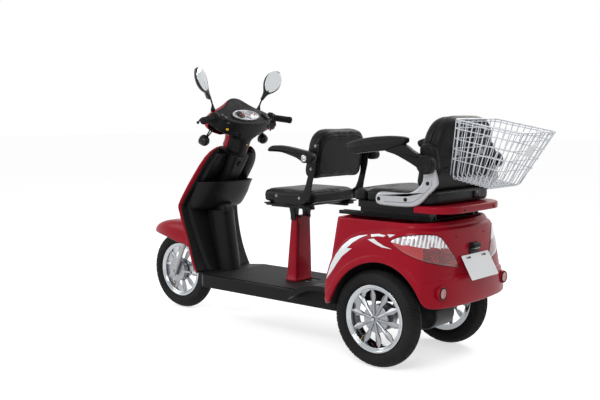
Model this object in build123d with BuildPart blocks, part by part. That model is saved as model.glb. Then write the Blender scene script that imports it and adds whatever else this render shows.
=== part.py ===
from build123d import *
from math import cos, radians, sin
import os

# Battery-driven two-seat tricycle for street use: one steered wheel ahead, two driven wheels behind.
# Millimetres, +Z up, +X to the front, +Y to the left, floor at Z 0.
# Local coordinates run forward from the rear axle, so every sketch reads as a side or plan drawing.

# Wheels and stance
WHEELBASE = 1494.0
TRACK = 546.0
TYRE_R = 208.0
TYRE_WIDTH = 80.0
RIM_LIP_R = 144.0
RIM_SEAT_R = 128.0
RIM_HALF = 33.0
FLANGE_THICK = 5.0
HUB_R = 62.0
SPOKES = 10
SPOKE_DEPTH = 15.0
SPOKE_SINK = 7.0
AXLE_R = 10.0
FRONT_AXLE_R = 7.0
RUNNING_FIT = 0.05
GAP = 0.3

# Overall length: the mudguard's tip ahead and the basket's rim behind
TIP_AHEAD = 225.0
BASKET_BEHIND = 573.0
REAR_X = -(WHEELBASE + TIP_AHEAD - BASKET_BEHIND) / 2
AXLE_Z = TYRE_R

# Steering axis
RAKE = 26.0
AXIS_BEHIND = 24.0
LEAN = radians(RAKE)

# Rear body
BODY_HALF = 337.0
TUB_HALF = 300.0
BODY_TOP = 622.0
BODY_WALL = 4.0
ARCH_BAND = 25.0
ARCH_PROUD = 7.0
LINER_WALL = 3.0
LINER_IN = 196.0

# Floor
FLOOR_TOP = 250.0
FLOOR_HALF = 226.0
FLOOR_FRONT = 1172.0
FLOOR_REAR = 262.0
FLOOR_SKIRT = 60.0
FLOOR_WALL = 4.0
MAT_THICK = 3.0

# Frame tubes
RAIL_Y = 125.0
RAIL_R = 15.0
RAIL_Z = FLOOR_TOP - FLOOR_WALL - RAIL_R
HEAD_TUBE_R = 27.0
STEM_R = 17.0

# Front seat
FRONT_SEAT_X = 600.0
FRONT_SEAT_Z = 640.0
FRONT_CUSHION_LENGTH = 306.0
FRONT_CUSHION_HALF = 207.0
FRONT_CUSHION_THICK = 56.0
FRONT_BACK_HALF = 208.0
FRONT_BACK_LOW = 755.0
FRONT_BACK_HIGH = 997.0
FRONT_BACK_THICK = 66.0
FRONT_BRACKET_Y = 214.0
BRACKET_THICK = 6.0
FRONT_ARM_PIVOT = (431.0, 862.0)
FRONT_ARM_WIDTH = 42.0

# Rear seat
SEAT_RAIL_Y = 170.0
REAR_SEAT_Z = 690.0
REAR_CUSHION_HALF = 232.0
REAR_CUSHION_FRONT = 182.0
REAR_CUSHION_REAR = -188.0
REAR_CUSHION_THICK = 58.0
REAR_BACK_HALF = 225.0
REAR_BACK_LOW = 752.0
REAR_BACK_HIGH = 1056.0
REAR_BACK_LEAN = 9.0
REAR_BACK_X = -176.0
REAR_BACK_CUSHION = 46.0
REAR_SHELL_THICK = 44.0
SILVER_BRACKET_Y = 240.0
SILVER_BRACKET_THICK = 16.0
REAR_ARM_PIVOT = (-217.0, 866.0)
REAR_ARM_WIDTH = 40.0
DRUM_R = 38.0


def side(y):
    """Side drawing at y: local x runs forward from the rear axle, local y is the height."""
    return Plane(origin=(REAR_X, y, 0), x_dir=(1, 0, 0), z_dir=(0, -1, 0))


def plan(z):
    """Plan drawing at height z, measured from the rear axle."""
    return Plane(origin=(REAR_X, 0, z))


def across(x):
    """Front drawing at x: local x runs to the left, local y is the height."""
    return Plane(origin=(REAR_X + x, 0, 0), x_dir=(0, 1, 0), z_dir=(1, 0, 0))


def steer(s):
    """Plane square to the steering axis, s along it: local x runs ahead, local y to the left."""
    foot = (REAR_X + WHEELBASE - AXIS_BEHIND - s * sin(LEAN), 0, AXLE_Z + s * cos(LEAN))
    return Plane(origin=foot, x_dir=(cos(LEAN), 0, sin(LEAN)), z_dir=(-sin(LEAN), 0, cos(LEAN)))


def wheel_section(x, y):
    """Half section of a wheel: local x runs along the axle, local y outward from it."""
    return Plane(origin=(REAR_X + x, y, AXLE_Z), x_dir=(0, 1, 0), z_dir=(1, 0, 0))


def axle_line(x):
    return Axis((REAR_X + x, 0, AXLE_Z), (0, 1, 0))


FLOOR = plan(0)

os.makedirs("parts", exist_ok=True)


def make_tyre(x, y):
    with BuildPart() as tyre:
        with BuildSketch(wheel_section(x, y)):
            inner = RIM_HALF - FLANGE_THICK - GAP
            with BuildLine():
                crown = ThreePointArc((-30, TYRE_R - 11), (0, TYRE_R), (30, TYRE_R - 11))
                wall = ThreePointArc((30, TYRE_R - 11), (TYRE_WIDTH / 2, TYRE_R - 38), (inner + 3, RIM_LIP_R + 1))
                Polyline((inner + 3, RIM_LIP_R + 1), (inner, RIM_LIP_R + 1), (inner, RIM_SEAT_R))
                Line((inner, RIM_SEAT_R), (-inner, RIM_SEAT_R))
                Polyline((-inner, RIM_SEAT_R), (-inner, RIM_LIP_R + 1), (-inner - 3, RIM_LIP_R + 1))
                ThreePointArc((-inner - 3, RIM_LIP_R + 1), (-TYRE_WIDTH / 2, TYRE_R - 38), (-30, TYRE_R - 11))
            make_face()
        revolve(axis=axle_line(x))
    return tyre


def make_rim(x, y, facing, hub_half, bore_r):
    """Cast wheel: flanged barrel, hub and dagger spokes on the side that faces out."""
    face = facing * (RIM_HALF - SPOKE_SINK)
    back = face - facing * SPOKE_DEPTH
    with BuildPart() as rim:
        with BuildSketch(wheel_section(x, y)):
            with BuildLine():
                Polyline(
                    (-RIM_HALF, RIM_SEAT_R - 9),
                    (-RIM_HALF, RIM_LIP_R),
                    (-RIM_HALF + FLANGE_THICK, RIM_LIP_R),
                    (-RIM_HALF + FLANGE_THICK, RIM_SEAT_R - GAP),
                    (RIM_HALF - FLANGE_THICK, RIM_SEAT_R - GAP),
                    (RIM_HALF - FLANGE_THICK, RIM_LIP_R),
                    (RIM_HALF, RIM_LIP_R),
                    (RIM_HALF, RIM_SEAT_R - 9),
                    close=True,
                )
            make_face()
            with BuildLine():
                Polyline(
                    (-hub_half, bore_r),
                    (-hub_half, HUB_R - 22),
                    (min(back, face), HUB_R),
                    (max(back, face), HUB_R),
                    (hub_half, HUB_R - 22),
                    (hub_half, bore_r),
                    close=True,
                )
            make_face()
        revolve(axis=axle_line(x))
        with BuildSketch(Plane(origin=(REAR_X + x, y + face, AXLE_Z), x_dir=(1, 0, 0), z_dir=(0, facing, 0))):
            with BuildLine():
                Polyline(
                    (HUB_R - 4, -9),
                    (HUB_R + 38, -14),
                    (RIM_SEAT_R - 6, -7),
                    (RIM_SEAT_R - 6, 7),
                    (HUB_R + 38, 14),
                    (HUB_R - 4, 9),
                    close=True,
                )
            spoke = make_face()
            with PolarLocations(0, SPOKES):
                add(spoke)
        extrude(amount=-SPOKE_DEPTH)
    return rim


# Rear wheels
REAR_HUB_HALF = 27.0
with BuildPart() as rear_tyre_left:
    add(make_tyre(0, TRACK / 2).part)
rear_tyre_left.part.label = "rear_tyre_left"
export_step(rear_tyre_left.part, "parts/rear_tyre_left.step")

with BuildPart() as rear_tyre_right:
    add(make_tyre(0, -TRACK / 2).part)
rear_tyre_right.part.label = "rear_tyre_right"
export_step(rear_tyre_right.part, "parts/rear_tyre_right.step")

with BuildPart() as rear_rim_left:
    add(make_rim(0, TRACK / 2, 1, REAR_HUB_HALF, AXLE_R + RUNNING_FIT).part)
rear_rim_left.part.label = "rear_rim_left"
export_step(rear_rim_left.part, "parts/rear_rim_left.step")

with BuildPart() as rear_rim_right:
    add(make_rim(0, -TRACK / 2, -1, REAR_HUB_HALF, AXLE_R + RUNNING_FIT).part)
rear_rim_right.part.label = "rear_rim_right"
export_step(rear_rim_right.part, "parts/rear_rim_right.step")

# Front wheel
FRONT_HUB_HALF = 30.0
with BuildPart() as front_tyre:
    add(make_tyre(WHEELBASE, 0).part)
front_tyre.part.label = "front_tyre"
export_step(front_tyre.part, "parts/front_tyre.step")

with BuildPart() as front_rim:
    add(make_rim(WHEELBASE, 0, 1, FRONT_HUB_HALF, FRONT_AXLE_R + RUNNING_FIT).part)
front_rim.part.label = "front_rim"
export_step(front_rim.part, "parts/front_rim.step")

# Rear axle: through tube, gear housing with the motor, brake drums and wheel stubs
AXLE_TUBE_R = 24.0
DRUM_INNER = TRACK / 2 - REAR_HUB_HALF - GAP
BRAKE_DRUM_R = 58.0
BRAKE_DRUM_WIDTH = 34.0
with BuildPart() as rear_axle:
    with BuildSketch(wheel_section(0, 0)):
        with BuildLine():
            Polyline(
                (-TRACK / 2 - REAR_HUB_HALF + 4, 0),
                (-TRACK / 2 - REAR_HUB_HALF + 4, AXLE_R),
                (-DRUM_INNER, AXLE_R),
                (-DRUM_INNER, BRAKE_DRUM_R),
                (-DRUM_INNER + BRAKE_DRUM_WIDTH, BRAKE_DRUM_R),
                (-DRUM_INNER + BRAKE_DRUM_WIDTH, AXLE_TUBE_R),
                (-70, AXLE_TUBE_R),
                (-45, 72),
                (45, 72),
                (70, AXLE_TUBE_R),
                (DRUM_INNER - BRAKE_DRUM_WIDTH, AXLE_TUBE_R),
                (DRUM_INNER - BRAKE_DRUM_WIDTH, BRAKE_DRUM_R),
                (DRUM_INNER, BRAKE_DRUM_R),
                (DRUM_INNER, AXLE_R),
                (TRACK / 2 + REAR_HUB_HALF - 4, AXLE_R),
                (TRACK / 2 + REAR_HUB_HALF - 4, 0),
                close=True,
            )
        make_face()
    revolve(axis=axle_line(0))
rear_axle.part.label = "rear_axle"
export_step(rear_axle.part, "parts/rear_axle.step")

MOTOR_R = 62.0
MOTOR_X = -72.0 - MOTOR_R - GAP
with BuildPart() as drive_motor:
    with BuildSketch(side(-20)):
        with Locations((MOTOR_X, AXLE_Z + 8)):
            Circle(MOTOR_R)
    extrude(amount=-150)
    fillet(drive_motor.edges().filter_by(GeomType.CIRCLE), 8)
    with BuildSketch(side(-12)):
        with Locations((MOTOR_X + 30, AXLE_Z + 4)):
            Rectangle(66, 60)
    extrude(amount=-24)
    with BuildSketch(side(-80)):
        with Locations((0, AXLE_Z)):
            Circle(72 + GAP)
    extrude(amount=-160, mode=Mode.SUBTRACT)
drive_motor.part.label = "drive_motor"
export_step(drive_motor.part, "parts/drive_motor.step")

# Main frame: two floor rails that rise over the rear axle, cross tubes, down tube and head tube
FRAME_REAR = -225.0
FRAME_REAR_Z = 372.0
DOWN_TUBE_R = 22.0
HEAD_LOW = 500.0
HEAD_HIGH = 660.0
CROSS_TUBES = (-215.0, 120.0, 330.0, FRONT_SEAT_X + 16.0, 1120.0)
SPRING_X = -35.0
SPRING_Y = 150.0
with BuildPart() as main_frame:
    with BuildLine(side(RAIL_Y)) as rail_path:
        FilletPolyline(
            (FRAME_REAR, FRAME_REAR_Z),
            (145, FRAME_REAR_Z),
            (215, RAIL_Z),
            (FLOOR_FRONT - 12, RAIL_Z),
            radius=45,
        )
    with BuildSketch(Plane(origin=rail_path.line @ 0, z_dir=rail_path.line % 0)):
        Circle(RAIL_R)
    sweep(path=rail_path.line)
    mirror(about=Plane.XZ)
    for cross_x in CROSS_TUBES:
        cross_z = FRAME_REAR_Z if cross_x < 130 else RAIL_Z
        with BuildSketch(side(RAIL_Y)):
            with Locations((cross_x, cross_z)):
                Circle(RAIL_R - 3)
        extrude(amount=2 * RAIL_Y)
    with BuildSketch(steer(HEAD_LOW)):
        Circle(HEAD_TUBE_R)
    extrude(amount=HEAD_HIGH - HEAD_LOW)
    with BuildLine(side(0)) as down_path:
        FilletPolyline((1120, RAIL_Z), (1146, 330), (1238, 653), radius=60)
    with BuildSketch(Plane(origin=down_path.line @ 0, z_dir=down_path.line % 0)):
        Circle(DOWN_TUBE_R)
    sweep(path=down_path.line)
    with BuildSketch(steer(HEAD_LOW - 60)):
        Circle(STEM_R + 1)
    extrude(amount=HEAD_HIGH - HEAD_LOW + 80, mode=Mode.SUBTRACT)
main_frame.part.label = "main_frame"
export_step(main_frame.part, "parts/main_frame.step")

# Room that the covers leave round the down tube and the head tube
with BuildPart() as tube_room:
    with BuildSketch(Plane(origin=down_path.line @ 0, z_dir=down_path.line % 0)):
        Circle(DOWN_TUBE_R + 3)
    sweep(path=down_path.line)
    with BuildSketch(steer(HEAD_LOW - 12)):
        Circle(HEAD_TUBE_R + 3)
    extrude(amount=HEAD_HIGH - HEAD_LOW + 16)
with BuildPart() as tube_housing:
    with BuildSketch(Plane(origin=down_path.line @ 0, z_dir=down_path.line % 0)):
        Circle(DOWN_TUBE_R + 7)
    sweep(path=down_path.line)
    with BuildSketch(steer(HEAD_LOW - 20)):
        Circle(HEAD_TUBE_R + 7)
    extrude(amount=HEAD_HIGH - HEAD_LOW + 20)

# Shock absorbers between the axle tube and the raised rails
with BuildPart() as rear_shocks:
    spring_low = AXLE_Z + AXLE_TUBE_R + GAP
    spring_high = FRAME_REAR_Z - RAIL_R - GAP
    pitch = (spring_high - spring_low - 24) / 6
    with BuildSketch(Plane(origin=(REAR_X, RAIL_Y, 0), x_dir=(0, 1, 0), z_dir=(1, 0, 0))):
        with Locations((0, (spring_low + spring_high) / 2)):
            Rectangle(20, spring_high - spring_low, align=(Align.MIN, Align.CENTER))
        for turn in range(6):
            with Locations((17, spring_low + 12 + pitch * (turn + 0.5))):
                RegularPolygon(5.5, 6)
        with Locations((0, spring_low)):
            Rectangle(24, 10, align=(Align.MIN, Align.MIN))
        with Locations((0, spring_high - 10)):
            Rectangle(24, 10, align=(Align.MIN, Align.MIN))
    revolve(axis=Axis((REAR_X, RAIL_Y, 0), (0, 0, 1)))
    mirror(about=Plane.XZ)
rear_shocks.part.label = "rear_shocks"
export_step(rear_shocks.part, "parts/rear_shocks.step")

# Traction battery, one plain block on the raised rails
BATTERY_LENGTH = 250.0
BATTERY_HALF = 170.0
BATTERY_HEIGHT = 170.0
with BuildPart(FLOOR) as battery_block:
    with Locations((-10, 0, FRAME_REAR_Z + RAIL_R + GAP)):
        Box(BATTERY_LENGTH, 2 * BATTERY_HALF, BATTERY_HEIGHT, align=(Align.CENTER, Align.CENTER, Align.MIN))
battery_block.part.label = "battery_block"
export_step(battery_block.part, "parts/battery_block.step")

# Rear body shell: an upright tub over a wider wing that carries the arches and the tail
# Columns: height, where the flat side ends, corner x, corner y, rear x on the centreline
WING_SECTIONS = (
    (230.0, -250.0, -304.0, 205.0, -312.0),
    (390.0, -215.0, -300.0, 200.0, -312.0),
    (470.0, -165.0, -284.0, 172.0, -292.0),
    (600.0, -88.0, -230.0, 190.0, -258.0),
)
WING_TOP_REAR = 592.0
ARCH_MID = (-30.0, 459.0)
ARCH_FRONT = (207.0, 244.0)
ARCH_REAR = (-262.0, 292.0)


def wing_solid(inset):
    """The wide lower body, drawn inward by inset on every face but the open underside."""
    half = BODY_HALF - inset
    with BuildPart() as wing:
        for height, flat_end, corner_x, corner_y, rear_x in WING_SECTIONS:
            with BuildSketch(plan(height)):
                with BuildLine():
                    Polyline(
                        (corner_x + inset, corner_y - inset / 2),
                        (flat_end + inset / 2, half),
                        (300, half),
                        (300, -half),
                        (flat_end + inset / 2, -half),
                        (corner_x + inset, -corner_y + inset / 2),
                    )
                    ThreePointArc(
                        (corner_x + inset, -corner_y + inset / 2),
                        (rear_x + inset, 0),
                        (corner_x + inset, corner_y - inset / 2),
                    )
                make_face()
                corners = vertices().sort_by(Axis.X)[:4]
                fillet(corners, 42 - inset)
        loft()
        with BuildSketch(side(0)):
            with BuildLine():
                Polyline((-330, 284), (-252, 284), (-230, 230), (250 - inset, 230), (244 - inset, 300))
                ThreePointArc((244 - inset, 300), (168 - inset, 466), (-11, 572 - inset))
                ThreePointArc((-11, 572 - inset), (-110, 589 - inset), (-240, WING_TOP_REAR - inset))
                Polyline((-240, WING_TOP_REAR - inset), (-330, WING_TOP_REAR - 12 - inset), (-330, 284))
            make_face()
        extrude(amount=BODY_HALF + 20, both=True, mode=Mode.INTERSECT)
    return wing


def tub_solid(inset):
    """The upright tub, drawn inward by inset on every face but the open underside."""
    half = TUB_HALF - inset
    with BuildPart() as tub:
        for height, front, rear, corner in ((300.0, 243.0, -262.0, 60.0), (BODY_TOP - inset, 212.0, -258.0, 60.0)):
            with BuildSketch(plan(height)):
                with BuildLine():
                    Polyline((rear + 52 + inset, half), (front - inset, half - 24), (front - inset, -half + 24), (rear + 52 + inset, -half))
                    Polyline((rear + 52 + inset, -half), (rear + 8 + inset, -half + 70))
                    ThreePointArc((rear + 8 + inset, -half + 70), (rear - 12 + inset, 0), (rear + 8 + inset, half - 70))
                    Line((rear + 8 + inset, half - 70), (rear + 52 + inset, half))
                make_face()
                fillet(vertices(), corner / 2 - inset)
        loft()
    return tub


def lamp_outline(grow):
    """Outlines of both tail lamps, seen from behind."""
    with BuildSketch() as outline:
        with BuildLine():
            Polyline((337, 552), (225, 576), (192, 562), (118, 440), (160, 436), (300, 472), (345, 520), (337, 552))
        make_face()
        if grow > 0:
            offset(amount=grow, kind=Kind.INTERSECTION)
        mirror(about=Plane.YZ)
    return outline.sketch


with BuildPart() as rear_body:
    add(wing_solid(0).part)
    add(tub_solid(0).part)
    top_rim = rear_body.faces().sort_by(Axis.Z)[-1].edges()
    fillet(top_rim, 9)
    add(wing_solid(BODY_WALL).part, mode=Mode.SUBTRACT)
    add(tub_solid(BODY_WALL).part, mode=Mode.SUBTRACT)
    with BuildSketch(side(0)):
        with BuildLine():
            ThreePointArc(ARCH_FRONT, ARCH_MID, ARCH_REAR)
            Polyline(ARCH_REAR, (-262, 200), (207, 200), ARCH_FRONT)
        make_face()
    extrude(amount=BODY_HALF + 20, both=True, mode=Mode.SUBTRACT)
    with BuildSketch(side(BODY_HALF + ARCH_PROUD)):
        with BuildLine():
            ThreePointArc(ARCH_FRONT, ARCH_MID, ARCH_REAR)
            Line(ARCH_REAR, (ARCH_REAR[0] - ARCH_BAND, ARCH_REAR[1] - 6))
            ThreePointArc(
                (ARCH_REAR[0] - ARCH_BAND, ARCH_REAR[1] - 6),
                (ARCH_MID[0], ARCH_MID[1] + ARCH_BAND),
                (ARCH_FRONT[0] + ARCH_BAND, ARCH_FRONT[1]),
            )
            Line((ARCH_FRONT[0] + ARCH_BAND, ARCH_FRONT[1]), ARCH_FRONT)
        make_face()
    extrude(amount=ARCH_PROUD + BODY_WALL)
    with BuildSketch(side(-BODY_HALF + BODY_WALL)):
        with BuildLine():
            ThreePointArc(ARCH_FRONT, ARCH_MID, ARCH_REAR)
            Line(ARCH_REAR, (ARCH_REAR[0] - ARCH_BAND, ARCH_REAR[1] - 6))
            ThreePointArc(
                (ARCH_REAR[0] - ARCH_BAND, ARCH_REAR[1] - 6),
                (ARCH_MID[0], ARCH_MID[1] + ARCH_BAND),
                (ARCH_FRONT[0] + ARCH_BAND, ARCH_FRONT[1]),
            )
            Line((ARCH_FRONT[0] + ARCH_BAND, ARCH_FRONT[1]), ARCH_FRONT)
        make_face()
    extrude(amount=ARCH_PROUD + BODY_WALL)
    with BuildSketch(plan(200)):
        with Locations((230, 0)):
            Rectangle(80, 2 * RAIL_Y + 50)
    extrude(amount=FLOOR_TOP + 12 - 200, mode=Mode.SUBTRACT)
    with BuildSketch(across(-340)):
        add(lamp_outline(1.0))
    extrude(amount=250, mode=Mode.SUBTRACT)
rear_body.part.label = "rear_body"
export_step(rear_body.part, "parts/rear_body.step")

# Inner arches of black plastic that close the body behind each rear wheel
with BuildPart() as rear_arch_liners:
    with BuildSketch(side(BODY_HALF - BODY_WALL - GAP)):
        with BuildLine():
            ThreePointArc((ARCH_FRONT[0] + 4, ARCH_FRONT[1]), (ARCH_MID[0], ARCH_MID[1] + 5), (ARCH_REAR[0] - 4, ARCH_REAR[1]))
            Line((ARCH_REAR[0] - 4, ARCH_REAR[1]), (ARCH_REAR[0], ARCH_REAR[1]))
            ThreePointArc(ARCH_REAR, (ARCH_MID[0], ARCH_MID[1] + 5 - LINER_WALL), ARCH_FRONT)
            Line(ARCH_FRONT, (ARCH_FRONT[0] + 4, ARCH_FRONT[1]))
        make_face()
    extrude(amount=BODY_HALF - BODY_WALL - GAP - LINER_IN)
    with BuildSketch(side(LINER_IN + LINER_WALL)):
        with BuildLine():
            ThreePointArc((ARCH_FRONT[0] + 4, ARCH_FRONT[1]), (ARCH_MID[0], ARCH_MID[1] + 5), (ARCH_REAR[0] - 4, ARCH_REAR[1]))
            Line((ARCH_REAR[0] - 4, ARCH_REAR[1]), (ARCH_FRONT[0] + 4, ARCH_FRONT[1]))
        make_face()
    extrude(amount=LINER_WALL)
    add(wing_solid(BODY_WALL + GAP).part, mode=Mode.INTERSECT)
    mirror(about=Plane.XZ)
rear_arch_liners.part.label = "rear_arch_liners"
export_step(rear_arch_liners.part, "parts/rear_arch_liners.step")

# Rear bumper: a moulded beam round the tail with a shallow panel pressed into its back
BUMPER_TOP = 404.0
BUMPER_LOW = 284.5
BUMPER_PROUD = 12.0
with BuildPart() as rear_bumper:
    for height, side_x, corner_x, corner_y, rear_x in (
        (BUMPER_LOW, -262.0, -318.0, 196.0, -328.0),
        (BUMPER_TOP, -236.0, -313.0, 205.0, -326.0),
    ):
        with BuildSketch(plan(height)):
            with BuildLine():
                Line((corner_x, corner_y), (side_x, BODY_HALF + 6))
                Polyline((side_x, BODY_HALF + 6), (side_x + 14, BODY_HALF + 6), (side_x + 14, -BODY_HALF - 6), (side_x, -BODY_HALF - 6))
                Line((side_x, -BODY_HALF - 6), (corner_x, -corner_y))
                ThreePointArc((corner_x, -corner_y), (rear_x, 0), (corner_x, corner_y))
            make_face()
    loft()
    add(wing_solid(-GAP).part, mode=Mode.SUBTRACT)
    with BuildSketch(side(0)):
        with BuildLine():
            ThreePointArc(
                (ARCH_REAR[0] - ARCH_BAND - 1.5, ARCH_REAR[1] - 6),
                (ARCH_MID[0], ARCH_MID[1] + ARCH_BAND + 1.5),
                (ARCH_FRONT[0] + ARCH_BAND + 1.5, ARCH_FRONT[1]),
            )
            Polyline(
                (ARCH_FRONT[0] + ARCH_BAND + 1.5, ARCH_FRONT[1]),
                (ARCH_FRONT[0] + ARCH_BAND + 1.5, 200),
                (ARCH_REAR[0] - ARCH_BAND - 1.5, 200),
                (ARCH_REAR[0] - ARCH_BAND - 1.5, ARCH_REAR[1] - 6),
            )
        make_face()
    extrude(amount=BODY_HALF + 30, both=True, mode=Mode.SUBTRACT)
    for y in (255, -255):
        with BuildSketch(Plane(origin=(REAR_X - 250, y, 346), z_dir=(-1, 0, 0))):
            Circle(25 + GAP)
        extrude(amount=90, mode=Mode.SUBTRACT)
rear_bumper.part.label = "rear_bumper"
export_step(rear_bumper.part, "parts/rear_bumper.step")

# Tail lamps, let into the slanting corners
with BuildPart() as tail_lamps:
    add(wing_solid(-2.5).part)
    add(wing_solid(BODY_WALL + 6).part, mode=Mode.SUBTRACT)
    with BuildSketch(across(-340)):
        add(lamp_outline(0.0))
    extrude(amount=250, mode=Mode.INTERSECT)
tail_lamps.part.label = "tail_lamps"
export_step(tail_lamps.part, "parts/tail_lamps.step")

# Floorboard: an open-bottomed tray with a ribbed mat on it
with BuildPart() as floorboard:
    with BuildSketch(plan(FLOOR_TOP)):
        with BuildLine():
            Polyline(
                (FLOOR_REAR, FLOOR_HALF),
                (FLOOR_FRONT - 60, FLOOR_HALF),
                (FLOOR_FRONT, FLOOR_HALF - 50),
                (FLOOR_FRONT, -FLOOR_HALF + 50),
                (FLOOR_FRONT - 60, -FLOOR_HALF),
                (FLOOR_REAR, -FLOOR_HALF),
                close=True,
            )
        make_face()
        fillet(vertices().group_by(Axis.X)[1], 18)
    extrude(amount=-FLOOR_SKIRT)
    fillet(floorboard.faces().sort_by(Axis.Z)[-1].edges(), 5)
    offset(amount=-FLOOR_WALL, openings=floorboard.faces().sort_by(Axis.Z)[0])
    with BuildSketch(plan(FLOOR_TOP + 1)):
        with Locations((FRONT_SEAT_X + 16, 0)):
            Rectangle(40 + 2 * GAP, 40 + 2 * GAP)
        with Locations((1128, 0)):
            Rectangle(60, 2 * DOWN_TUBE_R + 4)
    extrude(amount=-FLOOR_WALL - 2, mode=Mode.SUBTRACT)
    with BuildSketch(plan(FLOOR_TOP - FLOOR_WALL)):
        with Locations((FLOOR_REAR, 0)):
            Rectangle(30, 2 * RAIL_Y + 50)
    extrude(amount=-FLOOR_SKIRT, mode=Mode.SUBTRACT)
floorboard.part.label = "floorboard"
export_step(floorboard.part, "parts/floorboard.step")

with BuildPart() as floor_mat:
    with BuildSketch(plan(FLOOR_TOP + GAP / 3)):
        with Locations(((FLOOR_REAR + FLOOR_FRONT) / 2 - 30, 0)):
            RectangleRounded(FLOOR_FRONT - FLOOR_REAR - 130, 2 * FLOOR_HALF - 40, 20)
    extrude(amount=MAT_THICK)
    with BuildSketch(plan(FLOOR_TOP + MAT_THICK + GAP)):
        with Locations((FRONT_SEAT_X + 18, 0)):
            Rectangle(74, 132)
    extrude(amount=-2 * MAT_THICK, mode=Mode.SUBTRACT)
floor_mat.part.label = "floor_mat"
export_step(floor_mat.part, "parts/floor_mat.step")

# Foot steps of the rear passenger: arched covers beside the floor's rear end
STEP_OUT = 304.0
STEP_WALL = 4.0
with BuildPart() as foot_steps:
    with BuildSketch(side(STEP_OUT)):
        with BuildLine():
            step_top = ThreePointArc((262, 306), (400, 290), (496, 232))
            step_low = ThreePointArc((478, 226), (388, 272), (262, 286))
            Line(step_top @ 1, step_low @ 0)
            Line(step_low @ 1, step_top @ 0)
        make_face()
    extrude(amount=STEP_OUT - FLOOR_HALF - GAP)
    with BuildSketch(side(FLOOR_HALF + GAP + STEP_WALL)):
        with BuildLine():
            ThreePointArc((262, 306), (400, 290), (496, 232))
            Polyline((496, 232), (470, 200), (262, 200), (262, 306))
        make_face()
    extrude(amount=STEP_WALL)
    mirror(about=Plane.XZ)
foot_steps.part.label = "foot_steps"
export_step(foot_steps.part, "parts/foot_steps.step")

# Leg shield: red outer shell with a nose above the wheel, black inner panel towards the rider
# Columns: height, edge x, edge half width, nose x on the centreline
SHIELD_SECTIONS = (
    (242.0, 1166.0, 206.0, 1214.0),
    (400.0, 1214.0, 216.0, 1266.0),
    (520.0, 1249.0, 222.0, 1372.0),
    (600.0, 1260.0, 222.0, 1376.0),
    (760.0, 1176.0, 208.0, 1290.0),
    (890.0, 1088.0, 116.0, 1186.0),
)
SHIELD_WALL = 4.0
COVER_LOW_S = 580.0
COVER_TOP_S = 748.0
COVER_TOP_HALF = 62.0
COWL_SWEEP_R = 108.0


def shield_solid(inset, back):
    """Everything ahead of the shield's edge line; back moves the rear face."""
    with BuildPart() as shell:
        for height, edge_x, half, nose_x in SHIELD_SECTIONS:
            with BuildSketch(plan(height)):
                with BuildLine():
                    ThreePointArc((edge_x, half - inset), (nose_x - inset, 0), (edge_x, -half + inset))
                    Polyline((edge_x, -half + inset), (edge_x - back, -half + inset), (edge_x - back, half - inset), (edge_x, half - inset))
                make_face()
        loft(ruled=True)
    return shell


with BuildPart() as leg_shield_front:
    add(shield_solid(0, 6).part)
    add(shield_solid(SHIELD_WALL, 20).part, mode=Mode.SUBTRACT)
    with BuildSketch(steer(180)):
        Circle(HEAD_TUBE_R + 16)
    extrude(amount=300, mode=Mode.SUBTRACT)
    with BuildSketch(steer(COVER_TOP_S - 2)):
        Circle(COWL_SWEEP_R)
    extrude(amount=200, mode=Mode.SUBTRACT)
leg_shield_front.part.label = "leg_shield_front"
export_step(leg_shield_front.part, "parts/leg_shield_front.step")

with BuildPart() as leg_shield_inner:
    with BuildSketch(side(0)):
        with BuildLine():
            Polyline(
                (1161, FLOOR_TOP + GAP),
                (1207, 400),
                (1242.5, 520),
                (1253.5, 600),
                (1169.5, 760),
                (1081.5, 890),
                (1078, 887),
                (1166, 757),
                (1249, 600),
                (1238, 520),
                (1203, 400),
                (1158, FLOOR_TOP + GAP),
                close=True,
            )
        make_face()
    extrude(amount=240, both=True)
    with BuildSketch(across(1000)):
        with BuildLine():
            Polyline((206, 240), (216, 400), (222, 520), (222, 600), (208, 760), (116, 895), (-116, 895), (-208, 760), (-222, 600), (-222, 520), (-216, 400), (-206, 240), (206, 240))
        make_face()
    extrude(amount=320, mode=Mode.INTERSECT)
    add(tube_room.part, mode=Mode.SUBTRACT)
    with BuildSketch(steer(COVER_LOW_S - GAP)):
        with Locations((-33, 0)):
            Rectangle(140, 2 * COVER_TOP_HALF + 2 * GAP)
    extrude(amount=300, mode=Mode.SUBTRACT)
    with BuildSketch(steer(COVER_TOP_S - 2)):
        Circle(COWL_SWEEP_R)
    extrude(amount=200, mode=Mode.SUBTRACT)
leg_shield_inner.part.label = "leg_shield_inner"
export_step(leg_shield_inner.part, "parts/leg_shield_inner.step")

# Knee box: an open-topped pocket that bulges from the leg shield
# Columns: height, root x, root half width, bulge x on the centreline
KNEE_SECTIONS = (
    (560.0, 1232.0, 180.0, 1146.0),
    (640.0, 1218.0, 182.0, 1104.0),
    (705.0, 1190.0, 184.0, 1096.0),
)
KNEE_WALL = 4.0


def knee_solid(inset, lift):
    with BuildPart() as bulge:
        for height, root_x, half, bulge_x in KNEE_SECTIONS:
            low = lift if height == KNEE_SECTIONS[0][0] else 0
            with BuildSketch(plan(height + low)):
                with BuildLine():
                    ThreePointArc((root_x, half - inset), (bulge_x + inset, 0), (root_x, -half + inset))
                    Line((root_x, -half + inset), (root_x, half - inset))
                make_face()
        loft()
    return bulge


with BuildPart() as knee_void:
    add(knee_solid(KNEE_WALL, 8).part)
    add(tube_housing.part, mode=Mode.SUBTRACT)

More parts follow.
